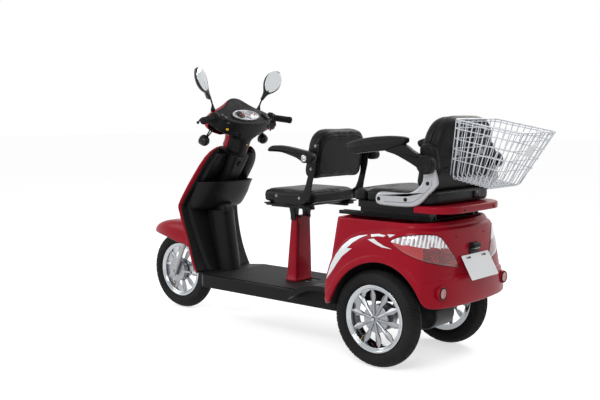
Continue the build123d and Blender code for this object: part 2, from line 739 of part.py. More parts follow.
with BuildPart() as knee_box:
    add(knee_solid(0, 0).part)
    with BuildSketch(side(0)):
        with BuildLine():
            Polyline((1000, 500), (1228, 470), (1241, 520), (1246, 600), (1187, 712), (1000, 712), (1000, 500))
        make_face()
    extrude(amount=240, both=True, mode=Mode.INTERSECT)
    add(knee_void.part, mode=Mode.SUBTRACT)
    add(tube_room.part, mode=Mode.SUBTRACT)
knee_box.part.label = "knee_box"
export_step(knee_box.part, "parts/knee_box.step")

# Column cover: a half-round housing over the down tube, from the floor to the knee box
COVER_HALF = 62.0
COVER_WALL = 3.5
COVER_HIGH = 556.0


def cover_solid(inset):
    with BuildPart() as cover:
        for height, root_x, rear_x in ((FLOOR_TOP + GAP, 1152.0, 1090.0), (COVER_HIGH, 1232.0, 1144.0)):
            with BuildSketch(plan(height)):
                with BuildLine():
                    ThreePointArc((root_x, COVER_HALF - inset), (rear_x + inset, 0), (root_x, -COVER_HALF + inset))
                    Polyline(
                        (root_x, -COVER_HALF + inset),
                        (root_x + 30, -COVER_HALF + inset),
                        (root_x + 30, COVER_HALF - inset),
                        (root_x, COVER_HALF - inset),
                    )
                make_face()
        loft()
    return cover


with BuildPart() as column_cover:
    add(cover_solid(0).part)
    add(cover_solid(COVER_WALL).part, mode=Mode.SUBTRACT)
    with BuildSketch(side(0)):
        with BuildLine():
            Polyline((1000, 240), (1154, 240), (1202, 400), (1237, 520), (1246, 580), (1000, 580), (1000, 240))
        make_face()
    extrude(amount=100, both=True, mode=Mode.INTERSECT)
    add(tube_room.part, mode=Mode.SUBTRACT)
column_cover.part.label = "column_cover"
export_step(column_cover.part, "parts/column_cover.step")

# Top cover round the steering stem, with the key lock
with BuildPart() as stem_cover:
    with BuildSketch(steer(COVER_LOW_S)):
        with Locations((-26, 0)):
            Rectangle(124, 96)
        fillet(vertices(), 24)
    with BuildSketch(steer(COVER_TOP_S)):
        with Locations((-33, 0)):
            Rectangle(138, 2 * COVER_TOP_HALF)
        fillet(vertices(), 30)
    loft()
    with BuildSketch(steer(COVER_LOW_S - 5)):
        Circle(HEAD_TUBE_R + 3)
    extrude(amount=HEAD_HIGH - COVER_LOW_S + 10, mode=Mode.SUBTRACT)
    with BuildSketch(steer(HEAD_HIGH)):
        Circle(STEM_R + 6)
    extrude(amount=COVER_TOP_S - HEAD_HIGH + 5, mode=Mode.SUBTRACT)
    with BuildSketch(Plane(origin=steer(706).from_local_coords((-92, 0, 0)), z_dir=steer(0).x_dir * -1)):
        Circle(13)
    extrude(amount=14)
    add(shield_solid(SHIELD_WALL + GAP, 400).part, mode=Mode.INTERSECT)
stem_cover.part.label = "stem_cover"
export_step(stem_cover.part, "parts/stem_cover.step")

# Fork: stem, crown, two legs and the axle, leading the steering axis
LEG_Y = 68.0
LEG_R = 13.0
CROWN_S = 238.0
CROWN_THICK = 20.0
HANDLE_S = 915.0
STEM_TOP_S = HANDLE_S - 32.0
LEG_FOOT_S = -AXIS_BEHIND * sin(LEAN)
LEG_AHEAD = AXIS_BEHIND * cos(LEAN)
with BuildPart() as fork:
    with BuildSketch(steer(CROWN_S)):
        with Locations((LEG_AHEAD / 2, 0)):
            Rectangle(54, 2 * LEG_Y + 2 * LEG_R + 6)
        fillet(vertices(), 16)
    extrude(amount=CROWN_THICK)
    with BuildSketch(steer(CROWN_S + 4)):
        Circle(STEM_R)
    extrude(amount=STEM_TOP_S - CROWN_S - 4)
    with BuildSketch(steer(LEG_FOOT_S - 26)):
        with Locations((LEG_AHEAD, LEG_Y), (LEG_AHEAD, -LEG_Y)):
            Circle(LEG_R)
    extrude(amount=CROWN_S + 30 - LEG_FOOT_S)
    with BuildSketch(side(LEG_Y + 20)):
        with Locations((WHEELBASE, AXLE_Z)):
            Circle(FRONT_AXLE_R)
    extrude(amount=2 * LEG_Y + 40)
fork.part.label = "fork"
export_step(fork.part, "parts/fork.step")

# Drum brake plate inside the left leg, carried by the fork
with BuildPart() as front_brake:
    with BuildSketch(side(LEG_Y - LEG_R - GAP)):
        with Locations((WHEELBASE, AXLE_Z)):
            Circle(60)
            Circle(FRONT_AXLE_R, mode=Mode.SUBTRACT)
    extrude(amount=LEG_Y - LEG_R - 2 * GAP - FRONT_HUB_HALF)
    with BuildSketch(side(LEG_Y - LEG_R - GAP + 8)):
        with BuildLine():
            Polyline((WHEELBASE - 46, AXLE_Z - 8), (WHEELBASE - 46, AXLE_Z + 8), (WHEELBASE - 116, AXLE_Z + 4), (WHEELBASE - 116, AXLE_Z - 4), close=True)
        make_face()
    extrude(amount=10)
front_brake.part.label = "front_brake"
export_step(front_brake.part, "parts/front_brake.step")

# Front mudguard with a lifted beak
GUARD_HALF = 90.0
GUARD_WALL = 3.0


def guard_solid(inset):
    with BuildPart() as guard:
        with BuildSketch(side(0)):
            with BuildLine():
                top = ThreePointArc((1719, 404), (1640, 461 - inset), (1521, 481 - inset))
                Polyline(top @ 1, (1430, 482 - inset), (1352 + inset, 452), (1314 + inset, 396), (1320, 350), (1408, 372))
                ThreePointArc((1408, 372), (1460, 368), (1518, 402))
                Line((1518, 402), top @ 0)
            make_face()
        extrude(amount=GUARD_HALF - inset, both=True)
        with BuildSketch(plan(300)):
            with BuildLine():
                Polyline((1300, GUARD_HALF - inset), (1540, GUARD_HALF - inset))
                ThreePointArc((1540, GUARD_HALF - inset), (1726 - 2 * inset, 0), (1540, -GUARD_HALF + inset))
                Polyline((1540, -GUARD_HALF + inset), (1300, -GUARD_HALF + inset), (1300, GUARD_HALF - inset))
            make_face()
        extrude(amount=250, mode=Mode.INTERSECT)
    return guard


with BuildPart() as front_mudguard:
    add(guard_solid(0).part)
    add(guard_solid(GUARD_WALL).part, mode=Mode.SUBTRACT)
    with BuildSketch(steer(CROWN_S - 10)):
        Circle(STEM_R + 2)
    extrude(amount=100, mode=Mode.SUBTRACT)
front_mudguard.part.label = "front_mudguard"
export_step(front_mudguard.part, "parts/front_mudguard.step")

# Handlebar, swept back to the grips
BAR_BEND_Y = 190.0
BAR_BEND = (-14.0, BAR_BEND_Y, HANDLE_S + 16)
BAR_END = (-60.0, 316.0, HANDLE_S + 20)
BAR_MID_S = HANDLE_S - 12.0
BAR_R = 11.0
GRIP_R = 16.0
GRIP_LENGTH = 106.0


def steer_point(ahead, left, s):
    return steer(s).from_local_coords((ahead, left, 0))


def from_to(start, end):
    return Plane(origin=start, z_dir=end - start)


def bar_plane(sign, reach):
    """Plane square to the swept-back end of the bar, reach behind the bend."""
    bend = steer_point(BAR_BEND[0], sign * BAR_BEND[1], BAR_BEND[2])
    end = steer_point(BAR_END[0], sign * BAR_END[1], BAR_END[2])
    return from_to(bend, end).offset(reach)


with BuildPart() as handlebar:
    with BuildLine() as bar_path:
        Polyline(
            steer_point(BAR_END[0], BAR_END[1], BAR_END[2]),
            steer_point(BAR_BEND[0], BAR_BEND[1], BAR_BEND[2]),
            steer_point(0, 0, BAR_MID_S),
            steer_point(BAR_BEND[0], -BAR_BEND[1], BAR_BEND[2]),
            steer_point(BAR_END[0], -BAR_END[1], BAR_END[2]),
        )
    with BuildSketch(Plane(origin=bar_path.line @ 0, z_dir=bar_path.line % 0)):
        Circle(BAR_R)
    sweep(path=bar_path.line, transition=Transition.ROUND)
    with BuildSketch(steer(STEM_TOP_S - 24)):
        Circle(STEM_R + 8)
    extrude(amount=BAR_MID_S + 6 - STEM_TOP_S + 24)
    with BuildSketch(steer(STEM_TOP_S - 25)):
        Circle(STEM_R + GAP / 3)
    extrude(amount=25 + GAP, mode=Mode.SUBTRACT)
handlebar.part.label = "handlebar"
export_step(handlebar.part, "parts/handlebar.step")

with BuildPart() as grips:
    for sign in (1, -1):
        with BuildSketch(bar_plane(sign, 29)):
            Circle(GRIP_R)
        extrude(amount=GRIP_LENGTH + 3)
        with BuildSketch(bar_plane(sign, 28)):
            Circle(BAR_R + GAP / 3)
        extrude(amount=GRIP_LENGTH + 1, mode=Mode.SUBTRACT)
grips.part.label = "grips"
export_step(grips.part, "parts/grips.step")

# Switch housings and brake levers
with BuildPart() as levers:
    for sign in (1, -1):
        with BuildSketch(bar_plane(sign, 4)):
            RectangleRounded(40, 36, 10)
            Circle(BAR_R + GAP / 3, mode=Mode.SUBTRACT)
        extrude(amount=24)
        with BuildLine() as lever_path:
            Polyline(
                steer_point(-4, sign * 202, HANDLE_S - 1),
                steer_point(30, sign * 236, HANDLE_S - 22),
                steer_point(6, sign * 282, HANDLE_S - 50),
            )
        with BuildSketch(Plane(origin=lever_path.line @ 0, z_dir=lever_path.line % 0)):
            Circle(5.5)
        sweep(path=lever_path.line, transition=Transition.ROUND)
levers.part.label = "brake_levers"
export_step(levers.part, "parts/brake_levers.step")

# Handlebar cowl: black half towards the rider, red half ahead, cut off by a dash that tilts to the rider
# Columns: s along the axis, ahead end, behind end, half width
COWL_SECTIONS = (
    (762.0, 50.0, -96.0, 62.0),
    (812.0, 90.0, -97.0, 86.0),
    (884.0, 104.0, -96.0, 152.0),
    (936.0, 104.0, -92.0, 200.0),
    (1000.0, 84.0, -72.0, 198.0),
)
COWL_SPLIT = 26.0
DASH_FRONT = (84.0, 992.0)
DASH_REAR = (-92.0, 934.0)
BAR_ROOM_R = 18.0
GRIP_ROOM_R = 30.0
CLAMP_ROOM_R = STEM_R + 12.0


def steer_side(y):
    """Side drawing in steering coordinates: local x runs ahead of the axis, local y along it."""
    return Plane(origin=steer_point(0, y, 0), x_dir=steer(0).x_dir, z_dir=(0, -1, 0))


dash_low = steer_point(DASH_REAR[0], 0, DASH_REAR[1])
dash_high = steer_point(DASH_FRONT[0], 0, DASH_FRONT[1])
dash_plane = Plane(origin=dash_low, x_dir=(0, -1, 0), z_dir=(dash_high - dash_low).cross(Vector(0, 1, 0)))

with BuildPart() as cowl:
    for s, ahead, behind, half in COWL_SECTIONS:
        with BuildSketch(steer(s)):
            with Locations(((ahead + behind) / 2, 0)):
                Ellipse((ahead - behind) / 2, half)
    loft()
    with BuildSketch(steer_side(0)):
        with BuildLine():
            Polyline((-150, 700), (150, 700), (150, 1014), DASH_FRONT, DASH_REAR, (-150, 915), close=True)
        make_face()
    extrude(amount=260, both=True, mode=Mode.INTERSECT)
    with BuildSketch(steer(740)):
        Circle(STEM_R + 4)
    extrude(amount=HANDLE_S - 742, mode=Mode.SUBTRACT)
    for sign in (1, -1):
        bar_middle = steer_point(0, 0, BAR_MID_S)
        bend = steer_point(BAR_BEND[0], sign * BAR_BEND[1], BAR_BEND[2])
        with BuildSketch(from_to(bar_middle, bend)):
            Circle(BAR_ROOM_R)
        extrude(amount=230, mode=Mode.SUBTRACT)
        with BuildSketch(bar_plane(sign, -12)):
            Circle(GRIP_ROOM_R)
        extrude(amount=60, mode=Mode.SUBTRACT)
    with BuildSketch(steer(STEM_TOP_S - 28)):
        Circle(CLAMP_ROOM_R)
    extrude(amount=62, mode=Mode.SUBTRACT)
cowl_cut = Plane(origin=steer(800).from_local_coords((COWL_SPLIT, 0, 0)), x_dir=(0, 1, 0), z_dir=steer(0).x_dir)
with BuildPart() as cowl_front:
    add(cowl.part)
    split(bisect_by=cowl_cut, keep=Keep.TOP)
cowl_front.part.label = "cowl_front"
export_step(cowl_front.part, "parts/cowl_front.step")
with BuildPart() as cowl_rear:
    add(cowl.part)
    split(bisect_by=cowl_cut, keep=Keep.BOTTOM)
cowl_rear.part.label = "cowl_rear"
export_step(cowl_rear.part, "parts/cowl_rear.step")

DIAL_HALF = 92.0
DIAL_DEEP = 34.0
DIAL_UP_DASH = 88.0
with BuildPart() as instrument_cluster:
    with BuildSketch(dash_plane.offset(GAP)):
        with Locations((0, DIAL_UP_DASH)):
            Ellipse(DIAL_HALF, DIAL_DEEP)
    extrude(amount=7, taper=12)
instrument_cluster.part.label = "instrument_cluster"
export_step(instrument_cluster.part, "parts/instrument_cluster.step")

with BuildPart() as headlamp:
    with BuildSketch(Plane(origin=steer_point(80, 0, 850), x_dir=(0, 1, 0), z_dir=steer(0).x_dir)):
        Ellipse(66, 36)
    extrude(amount=32, taper=14)
    add(cowl.part, mode=Mode.SUBTRACT)
headlamp.part.label = "headlamp"
export_step(headlamp.part, "parts/headlamp.step")

# Round turn lamps on stalks below the bar: domed cups with the lens ahead
LAMP_R = 27.0
LAMP_AHEAD = -12.0
LAMP_Y = 214.0
LAMP_S = 801.0
STALK_R = 5.0
with BuildPart() as turn_lamps:
    for sign in (1, -1):
        lamp_middle = steer_point(LAMP_AHEAD, sign * LAMP_Y, LAMP_S)
        cup = from_to(lamp_middle, steer_point(LAMP_AHEAD + 30, sign * LAMP_Y, LAMP_S))
        with BuildSketch(cup):
            Circle(LAMP_R)
        extrude(amount=22, taper=5)
        with Locations(cup):
            Sphere(LAMP_R)
        with BuildLine() as stalk:
            Line(steer_point(0, sign * 194, 816), steer_point(20, sign * 128, 884))
        with BuildSketch(Plane(origin=stalk.line @ 0, z_dir=stalk.line % 0)):
            Circle(STALK_R)
        sweep(path=stalk.line)
    add(cowl.part, mode=Mode.SUBTRACT)
turn_lamps.part.label = "turn_lamps"
export_step(turn_lamps.part, "parts/turn_lamps.step")

# Mirrors: stems from the cowl and teardrop heads, turned in towards the rider
MIRROR_R = 44.0
MIRROR_TIP_R = 11.0
MIRROR_THICK = 22.0
MIRROR_TURN = radians(18.0)
MIRROR_STEM_R = 4.5
for sign, name in ((1, "mirror_left"), (-1, "mirror_right")):
    with BuildPart() as mirror_part:
        low = steer_point(43, sign * 162, 942)
        knee = steer_point(58, sign * 180, 988)
        tip = steer_point(64, sign * 190, 1002)
        head = steer_point(97, sign * 270, 1102)
        top = tip + (head - tip) * 0.55
        with BuildLine() as stem_path:
            Polyline(low, knee, top)
        with BuildSketch(Plane(origin=stem_path.line @ 0, z_dir=stem_path.line % 0)):
            Circle(MIRROR_STEM_R)
        sweep(path=stem_path.line, transition=Transition.ROUND)
        reach = (head - tip).length
        along = (head - tip).normalized()
        turned = Vector(cos(MIRROR_TURN), sign * sin(MIRROR_TURN), 0)
        with BuildSketch(Plane(origin=tip, x_dir=along, z_dir=turned - along * turned.dot(along))):
            with Locations((0, 0)):
                Circle(MIRROR_TIP_R)
            with Locations((reach, 0)):
                Circle(MIRROR_R)
            make_hull()
        extrude(amount=MIRROR_THICK, taper=20)
        add(cowl.part, mode=Mode.SUBTRACT)
    mirror_part.part.label = name
    export_step(mirror_part.part, "parts/" + name + ".step")

# Front seat: post cover, column, bracket, pan, cushion, back, side brackets and armrests
POST_LOW_Z = FLOOR_TOP + MAT_THICK + GAP
POST_HIGH_Z = 566.0
POST_LOW_X = FRONT_SEAT_X + 8.0
POST_HIGH_X = FRONT_SEAT_X + 16.0
POST_WALL = 3.0
COLUMN_HALF = 20.0
# Columns: height, middle from the rear axle, length, width
POST_ENDS = ((POST_LOW_Z, POST_LOW_X, 66.0, 122.0), (POST_HIGH_Z, POST_HIGH_X, 50.0, 100.0))
with BuildPart() as front_seat_post:
    for height, centre_x, length, width in POST_ENDS:
        with BuildSketch(plan(height)):
            with Locations((centre_x, 0)):
                RectangleRounded(length, width, 6)
    loft()
    for height, centre_x, length, width in POST_ENDS:
        with BuildSketch(plan(height)):
            with Locations((centre_x, 0)):
                RectangleRounded(length - 2 * POST_WALL, width - 2 * POST_WALL, 3)
    loft(mode=Mode.SUBTRACT)
front_seat_post.part.label = "front_seat_post"
export_step(front_seat_post.part, "parts/front_seat_post.step")

with BuildPart() as seat_column:
    with BuildSketch(plan(RAIL_Z + RAIL_R - 3 + GAP / 3)):
        with Locations((POST_HIGH_X, 0)):
            Rectangle(2 * COLUMN_HALF, 2 * COLUMN_HALF)
            Rectangle(2 * COLUMN_HALF - 6, 2 * COLUMN_HALF - 6, mode=Mode.SUBTRACT)
    extrude(amount=POST_HIGH_Z + 22 - RAIL_Z - RAIL_R + 3 - GAP / 3)
    with BuildSketch(plan(POST_HIGH_Z + 22)):
        with Locations((POST_HIGH_X, 0)):
            RectangleRounded(76, 92, 8)
    extrude(amount=6)
seat_column.part.label = "seat_column"
export_step(seat_column.part, "parts/seat_column.step")

BRACKET_LOW_Z = POST_HIGH_Z + 28.0
FRONT_PAN_Z = 638.0
PAN_THICK = 8.0
PAN_STRAP = 110.0
with BuildPart() as front_seat_frame:
    with BuildSketch(across(POST_HIGH_X + 36)):
        with BuildLine():
            Polyline((-40, BRACKET_LOW_Z), (-40, BRACKET_LOW_Z + 5), (-30, BRACKET_LOW_Z + 5), (-34, FRONT_PAN_Z))
            Polyline((-34, FRONT_PAN_Z), (-28, FRONT_PAN_Z), (-24, BRACKET_LOW_Z + 5), (24, BRACKET_LOW_Z + 5))
            Polyline((24, BRACKET_LOW_Z + 5), (28, FRONT_PAN_Z), (34, FRONT_PAN_Z), (30, BRACKET_LOW_Z + 5))
            Polyline((30, BRACKET_LOW_Z + 5), (40, BRACKET_LOW_Z + 5), (40, BRACKET_LOW_Z), (-40, BRACKET_LOW_Z))
        make_face()
    extrude(amount=-72)
    with BuildSketch(plan(FRONT_PAN_Z)):
        with Locations((FRONT_SEAT_X - 4, 0)):
            RectangleRounded(FRONT_CUSHION_LENGTH - 40, 2 * FRONT_CUSHION_HALF - 24, 12)
        with Locations((FRONT_SEAT_X - 30, 0)):
            Rectangle(PAN_STRAP, 2 * FRONT_BRACKET_Y)
    extrude(amount=PAN_THICK)
    for y in (FRONT_BRACKET_Y + BRACKET_THICK, -FRONT_BRACKET_Y):
        with BuildSketch(side(y)):
            with BuildLine():
                FilletPolyline((636, 672), (466, 672), (428, 800), (380, 930), radius=30)
            trace(line_width=36)
            with Locations(FRONT_ARM_PIVOT):
                Circle(16)
        extrude(amount=BRACKET_THICK)
    for y in (FRONT_BRACKET_Y, -FRONT_BRACKET_Y - 50):
        with BuildSketch(side(y + 50 if y > 0 else y + 50)):
            with Locations(FRONT_ARM_PIVOT):
                Circle(6)
        extrude(amount=50)
    with BuildSketch(plan(FRONT_PAN_Z + 4)):
        with Locations((FRONT_SEAT_X - 30, FRONT_BRACKET_Y), (FRONT_SEAT_X - 30, -FRONT_BRACKET_Y)):
            Rectangle(PAN_STRAP, 2 * BRACKET_THICK)
    extrude(amount=16)
front_seat_frame.part.label = "front_seat_frame"
export_step(front_seat_frame.part, "parts/front_seat_frame.step")

FRONT_CUSHION_Z = FRONT_PAN_Z + PAN_THICK + GAP
with BuildPart() as front_seat_cushion:
    with BuildSketch(plan(FRONT_CUSHION_Z)):
        with Locations((FRONT_SEAT_X, 0)):
            RectangleRounded(FRONT_CUSHION_LENGTH, 2 * FRONT_CUSHION_HALF, 40)
    extrude(amount=FRONT_CUSHION_THICK)
    fillet(front_seat_cushion.faces().sort_by(Axis.Z)[-1].edges(), 16)
front_seat_cushion.part.label = "front_seat_cushion"
export_step(front_seat_cushion.part, "parts/front_seat_cushion.step")

FRONT_BACK_LEAN = 10.0
front_back_ahead = (cos(radians(FRONT_BACK_LEAN)), 0, sin(radians(FRONT_BACK_LEAN)))
front_back_plane = Plane(origin=(REAR_X + 434, 0, FRONT_BACK_LOW), x_dir=(0, 1, 0), z_dir=front_back_ahead)
front_back_axis = Axis(front_back_plane.origin, front_back_plane.z_dir)
FRONT_BACK_TOP_R = 96.0
FRONT_BACK_LOW_R = 44.0
with BuildPart() as front_seat_back:
    with BuildSketch(front_back_plane) as outline:
        with Locations((0, (FRONT_BACK_HIGH - FRONT_BACK_LOW) / 2)):
            Rectangle(2 * FRONT_BACK_HALF, FRONT_BACK_HIGH - FRONT_BACK_LOW)
        fillet(outline.vertices().group_by(Axis.Y)[-1], FRONT_BACK_TOP_R)
        fillet(outline.vertices().group_by(Axis.Y)[0], FRONT_BACK_LOW_R)
    extrude(amount=FRONT_BACK_THICK)
    fillet(front_seat_back.faces().sort_by(front_back_axis)[-1].edges(), 16)
front_seat_back.part.label = "front_seat_back"
export_step(front_seat_back.part, "parts/front_seat_back.step")

for sign, name in ((1, "front_armrest_left"), (-1, "front_armrest_right")):
    inner_y = FRONT_BRACKET_Y + BRACKET_THICK + GAP
    start_y = inner_y + FRONT_ARM_WIDTH if sign > 0 else -inner_y
    with BuildPart() as armrest:
        with BuildSketch(side(start_y)):
            with BuildLine():
                top = ThreePointArc((392, 884), (500, 909), (636, 908))
                tip = ThreePointArc((636, 908), (650, 896), (640, 883))
                low = ThreePointArc((640, 883), (520, 868), (420, 836))
                Line(low @ 1, (392, 850))
                Line((392, 850), top @ 0)
            make_face()
        extrude(amount=FRONT_ARM_WIDTH)
        with BuildSketch(side(start_y + 1)):
            with Locations(FRONT_ARM_PIVOT):
                Circle(6 + RUNNING_FIT)
        extrude(amount=FRONT_ARM_WIDTH + 2, mode=Mode.SUBTRACT)
    armrest.part.label = name
    export_step(armrest.part, "parts/" + name + ".step")

# Rear seat on slide rails
LOWER_RAIL_Z = BODY_TOP + GAP / 3
with BuildPart() as rear_seat_rails:
    with BuildSketch(across(-200)):
        with Locations((SEAT_RAIL_Y, LOWER_RAIL_Z), (-SEAT_RAIL_Y, LOWER_RAIL_Z)):
            Rectangle(44, 16, align=(Align.CENTER, Align.MIN))
        with Locations((SEAT_RAIL_Y, LOWER_RAIL_Z + 4), (-SEAT_RAIL_Y, LOWER_RAIL_Z + 4)):
            Rectangle(32, 9, align=(Align.CENTER, Align.MIN), mode=Mode.SUBTRACT)
            Rectangle(18, 20, align=(Align.CENTER, Align.MIN), mode=Mode.SUBTRACT)
    extrude(amount=475)
    with BuildSketch(plan(LOWER_RAIL_Z)):
        with Locations((-170, 0), (170, 0)):
            Rectangle(34, 2 * SEAT_RAIL_Y)
    extrude(amount=3.5)
rear_seat_rails.part.label = "rear_seat_rails"
export_step(rear_seat_rails.part, "parts/rear_seat_rails.step")

SEAT_FRAME_Z = LOWER_RAIL_Z + 18.0
with BuildPart() as rear_seat_frame:
    with BuildSketch(across(-195)):
        for y in (SEAT_RAIL_Y, -SEAT_RAIL_Y):
            with Locations((y, LOWER_RAIL_Z + 5)):
                Rectangle(28, 6, align=(Align.CENTER, Align.MIN))
            with Locations((y, LOWER_RAIL_Z + 6)):
                Rectangle(12, SEAT_FRAME_Z - LOWER_RAIL_Z + 4, align=(Align.CENTER, Align.MIN))
            with Locations((y, SEAT_FRAME_Z)):
                Rectangle(50, 22, align=(Align.CENTER, Align.MIN))
    extrude(amount=350)
    with BuildSketch(plan(SEAT_FRAME_Z + 22)):
        with Locations((-10, 0)):
            RectangleRounded(360, 410, 20)
    extrude(amount=REAR_SEAT_Z - GAP - SEAT_FRAME_Z - 22)
rear_seat_frame.part.label = "rear_seat_frame"
export_step(rear_seat_frame.part, "parts/rear_seat_frame.step")

with BuildPart() as rear_seat_cushion:
    with BuildSketch(plan(REAR_SEAT_Z)):
        with Locations(((REAR_CUSHION_FRONT + REAR_CUSHION_REAR) / 2, 0)):
            RectangleRounded(REAR_CUSHION_FRONT - REAR_CUSHION_REAR, 2 * REAR_CUSHION_HALF, 50)
    extrude(amount=REAR_CUSHION_THICK)
    fillet(rear_seat_cushion.faces().sort_by(Axis.Z)[-1].edges(), 18)
rear_seat_cushion.part.label = "rear_seat_cushion"
export_step(rear_seat_cushion.part, "parts/rear_seat_cushion.step")

back_lean = radians(REAR_BACK_LEAN)
back_height = (REAR_BACK_HIGH - REAR_BACK_LOW) / cos(back_lean)
rear_back_ahead = (cos(back_lean), 0, sin(back_lean))
rear_back_plane = Plane(origin=(REAR_X + REAR_BACK_X, 0, REAR_BACK_LOW), x_dir=(0, 1, 0), z_dir=rear_back_ahead)
rear_back_axis = Axis(rear_back_plane.origin, rear_back_plane.z_dir)


def back_outline():
    with BuildSketch() as outline:
        with Locations((0, back_height / 2)):
            Rectangle(2 * REAR_BACK_HALF, back_height)
        fillet(outline.vertices().group_by(Axis.Y)[-1], 130)
        fillet(outline.vertices().group_by(Axis.Y)[0], 30)
    return outline.sketch


with BuildPart() as rear_seat_back:
    with BuildSketch(rear_back_plane):
        add(back_outline())
    extrude(amount=REAR_BACK_CUSHION)
    fillet(rear_seat_back.faces().sort_by(rear_back_axis)[-1].edges(), 16)
rear_seat_back.part.label = "rear_seat_back"
export_step(rear_seat_back.part, "parts/rear_seat_back.step")

SKIRT_LOW = 692.0
SKIRT_HIGH = 748.0
SKIRT_HALF = 232.0
SKIRT_REAR = -236.0
KNUCKLE_IN = 205.0
KNUCKLE_OUT = 250.0
with BuildPart() as rear_seat_shell:
    with BuildSketch(rear_back_plane.offset(-GAP)):
        add(back_outline())
    extrude(amount=-REAR_SHELL_THICK)
    fillet(rear_seat_shell.faces().sort_by(rear_back_axis)[0].edges(), 22)
    with BuildSketch(side(90)):
        with BuildLine():
            Polyline((-190, REAR_SEAT_Z - 12), (-202, 780), (-196, 830))
            Polyline((-196, 830), (-206, 830), (-214, 780), (-202, REAR_SEAT_Z - 12), (-190, REAR_SEAT_Z - 12))
        make_face()
    extrude(amount=180)
    with BuildSketch(plan(SKIRT_LOW)):
        with BuildLine():
            Polyline((REAR_CUSHION_REAR - GAP, SKIRT_HALF), (-212, SKIRT_HALF), (SKIRT_REAR, SKIRT_HALF - 46))
            ThreePointArc((SKIRT_REAR, SKIRT_HALF - 46), (SKIRT_REAR - 6, 0), (SKIRT_REAR, 46 - SKIRT_HALF))
            Polyline((SKIRT_REAR, 46 - SKIRT_HALF), (-212, -SKIRT_HALF), (REAR_CUSHION_REAR - GAP, -SKIRT_HALF))
            Line((REAR_CUSHION_REAR - GAP, -SKIRT_HALF), (REAR_CUSHION_REAR - GAP, SKIRT_HALF))
        make_face()
    extrude(amount=SKIRT_HIGH - SKIRT_LOW)
    for sign in (1, -1):
        with BuildSketch(side(sign * KNUCKLE_IN)):
            with BuildLine():
                Polyline(
                    (-196, 838),
                    (-180, 862),
                    (-178, 924),
                    (-190, 940),
                    (-212, 944),
                    (-236, 940),
                    (-248, 920),
                    (-256, 846),
                    close=True,
                )
            make_face()
        extrude(amount=-sign * (SILVER_BRACKET_Y - GAP - KNUCKLE_IN))
        with BuildSketch(side(sign * KNUCKLE_IN)):
            with BuildLine():
                Polyline((-182, 900), (-178, 924), (-190, 940), (-212, 944))
                Polyline((-212, 944), (-236, 940), (-248, 920), (-251, 900), (-182, 900))
            make_face()
        extrude(amount=-sign * (KNUCKLE_OUT - KNUCKLE_IN))
    with BuildSketch(rear_back_plane.offset(-GAP)):
        with Locations((0, back_height / 2)):
            Rectangle(2 * (REAR_BACK_HALF + GAP), back_height)
    extrude(amount=REAR_BACK_CUSHION + 20, mode=Mode.SUBTRACT)
rear_seat_shell.part.label = "rear_seat_shell"
export_step(rear_seat_shell.part, "parts/rear_seat_shell.step")

# Silver seat brackets with the armrest pivots
BRACKET_WIDE = 54.0
with BuildPart() as rear_seat_brackets:
    for y in (SILVER_BRACKET_Y + SILVER_BRACKET_THICK, -SILVER_BRACKET_Y):
        with BuildSketch(side(y)):
            with BuildLine():
                FilletPolyline((32, 710), (-128, 712), (-226, 786), (-220, 862), radius=50)
            trace(line_width=BRACKET_WIDE)
            with Locations(REAR_ARM_PIVOT):
                Circle(30)
        extrude(amount=SILVER_BRACKET_THICK)
    with BuildSketch(side(SILVER_BRACKET_Y + SILVER_BRACKET_THICK + REAR_ARM_WIDTH)):
        with Locations(REAR_ARM_PIVOT):
            Circle(9)
    extrude(amount=REAR_ARM_WIDTH)
    with BuildSketch(side(-SILVER_BRACKET_Y - SILVER_BRACKET_THICK)):
        with Locations(REAR_ARM_PIVOT):
            Circle(9)
    extrude(amount=REAR_ARM_WIDTH)
    with BuildSketch(plan(REAR_SEAT_Z - GAP - 8)):
        with Locations((-50, 0)):
            Rectangle(90, 2 * SILVER_BRACKET_Y + 4)
            Rectangle(90, 410 + 2 * GAP, mode=Mode.SUBTRACT)
    extrude(amount=7)
rear_seat_brackets.part.label = "rear_seat_brackets"
export_step(rear_seat_brackets.part, "parts/rear_seat_brackets.step")

for sign, name in ((1, "rear_armrest_left"), (-1, "rear_armrest_right")):
    inner_y = SILVER_BRACKET_Y + SILVER_BRACKET_THICK + GAP
    start_y = inner_y + REAR_ARM_WIDTH if sign > 0 else -inner_y
    with BuildPart() as armrest:
        with BuildSketch(side(start_y)):
            with Locations(REAR_ARM_PIVOT):
                Circle(DRUM_R)
        extrude(amount=REAR_ARM_WIDTH)
        with BuildSketch(side(start_y)):
            with BuildLine():
                Polyline((-225, 902), (-100, 948), (-20, 952), (-20, 906), (-70, 908), (-195, 838), close=True)
            make_face()
        extrude(amount=REAR_ARM_WIDTH)
        with BuildSketch(side(start_y)):
            with BuildLine():
                top = ThreePointArc((-108, 946), (20, 970), (100, 954))
                nose = ThreePointArc(top @ 1, (176, 918), (146, 888))
                low = ThreePointArc(nose @ 1, (20, 902), (-74, 904))
                Line(low @ 1, top @ 0)
            make_face()
        extrude(amount=REAR_ARM_WIDTH)
        with BuildSketch(side(start_y + 1)):
            with Locations(REAR_ARM_PIVOT):
                Circle(9 + RUNNING_FIT)
        extrude(amount=REAR_ARM_WIDTH + 2, mode=Mode.SUBTRACT)
    armrest.part.label = name
    export_step(armrest.part, "parts/" + name + ".step")

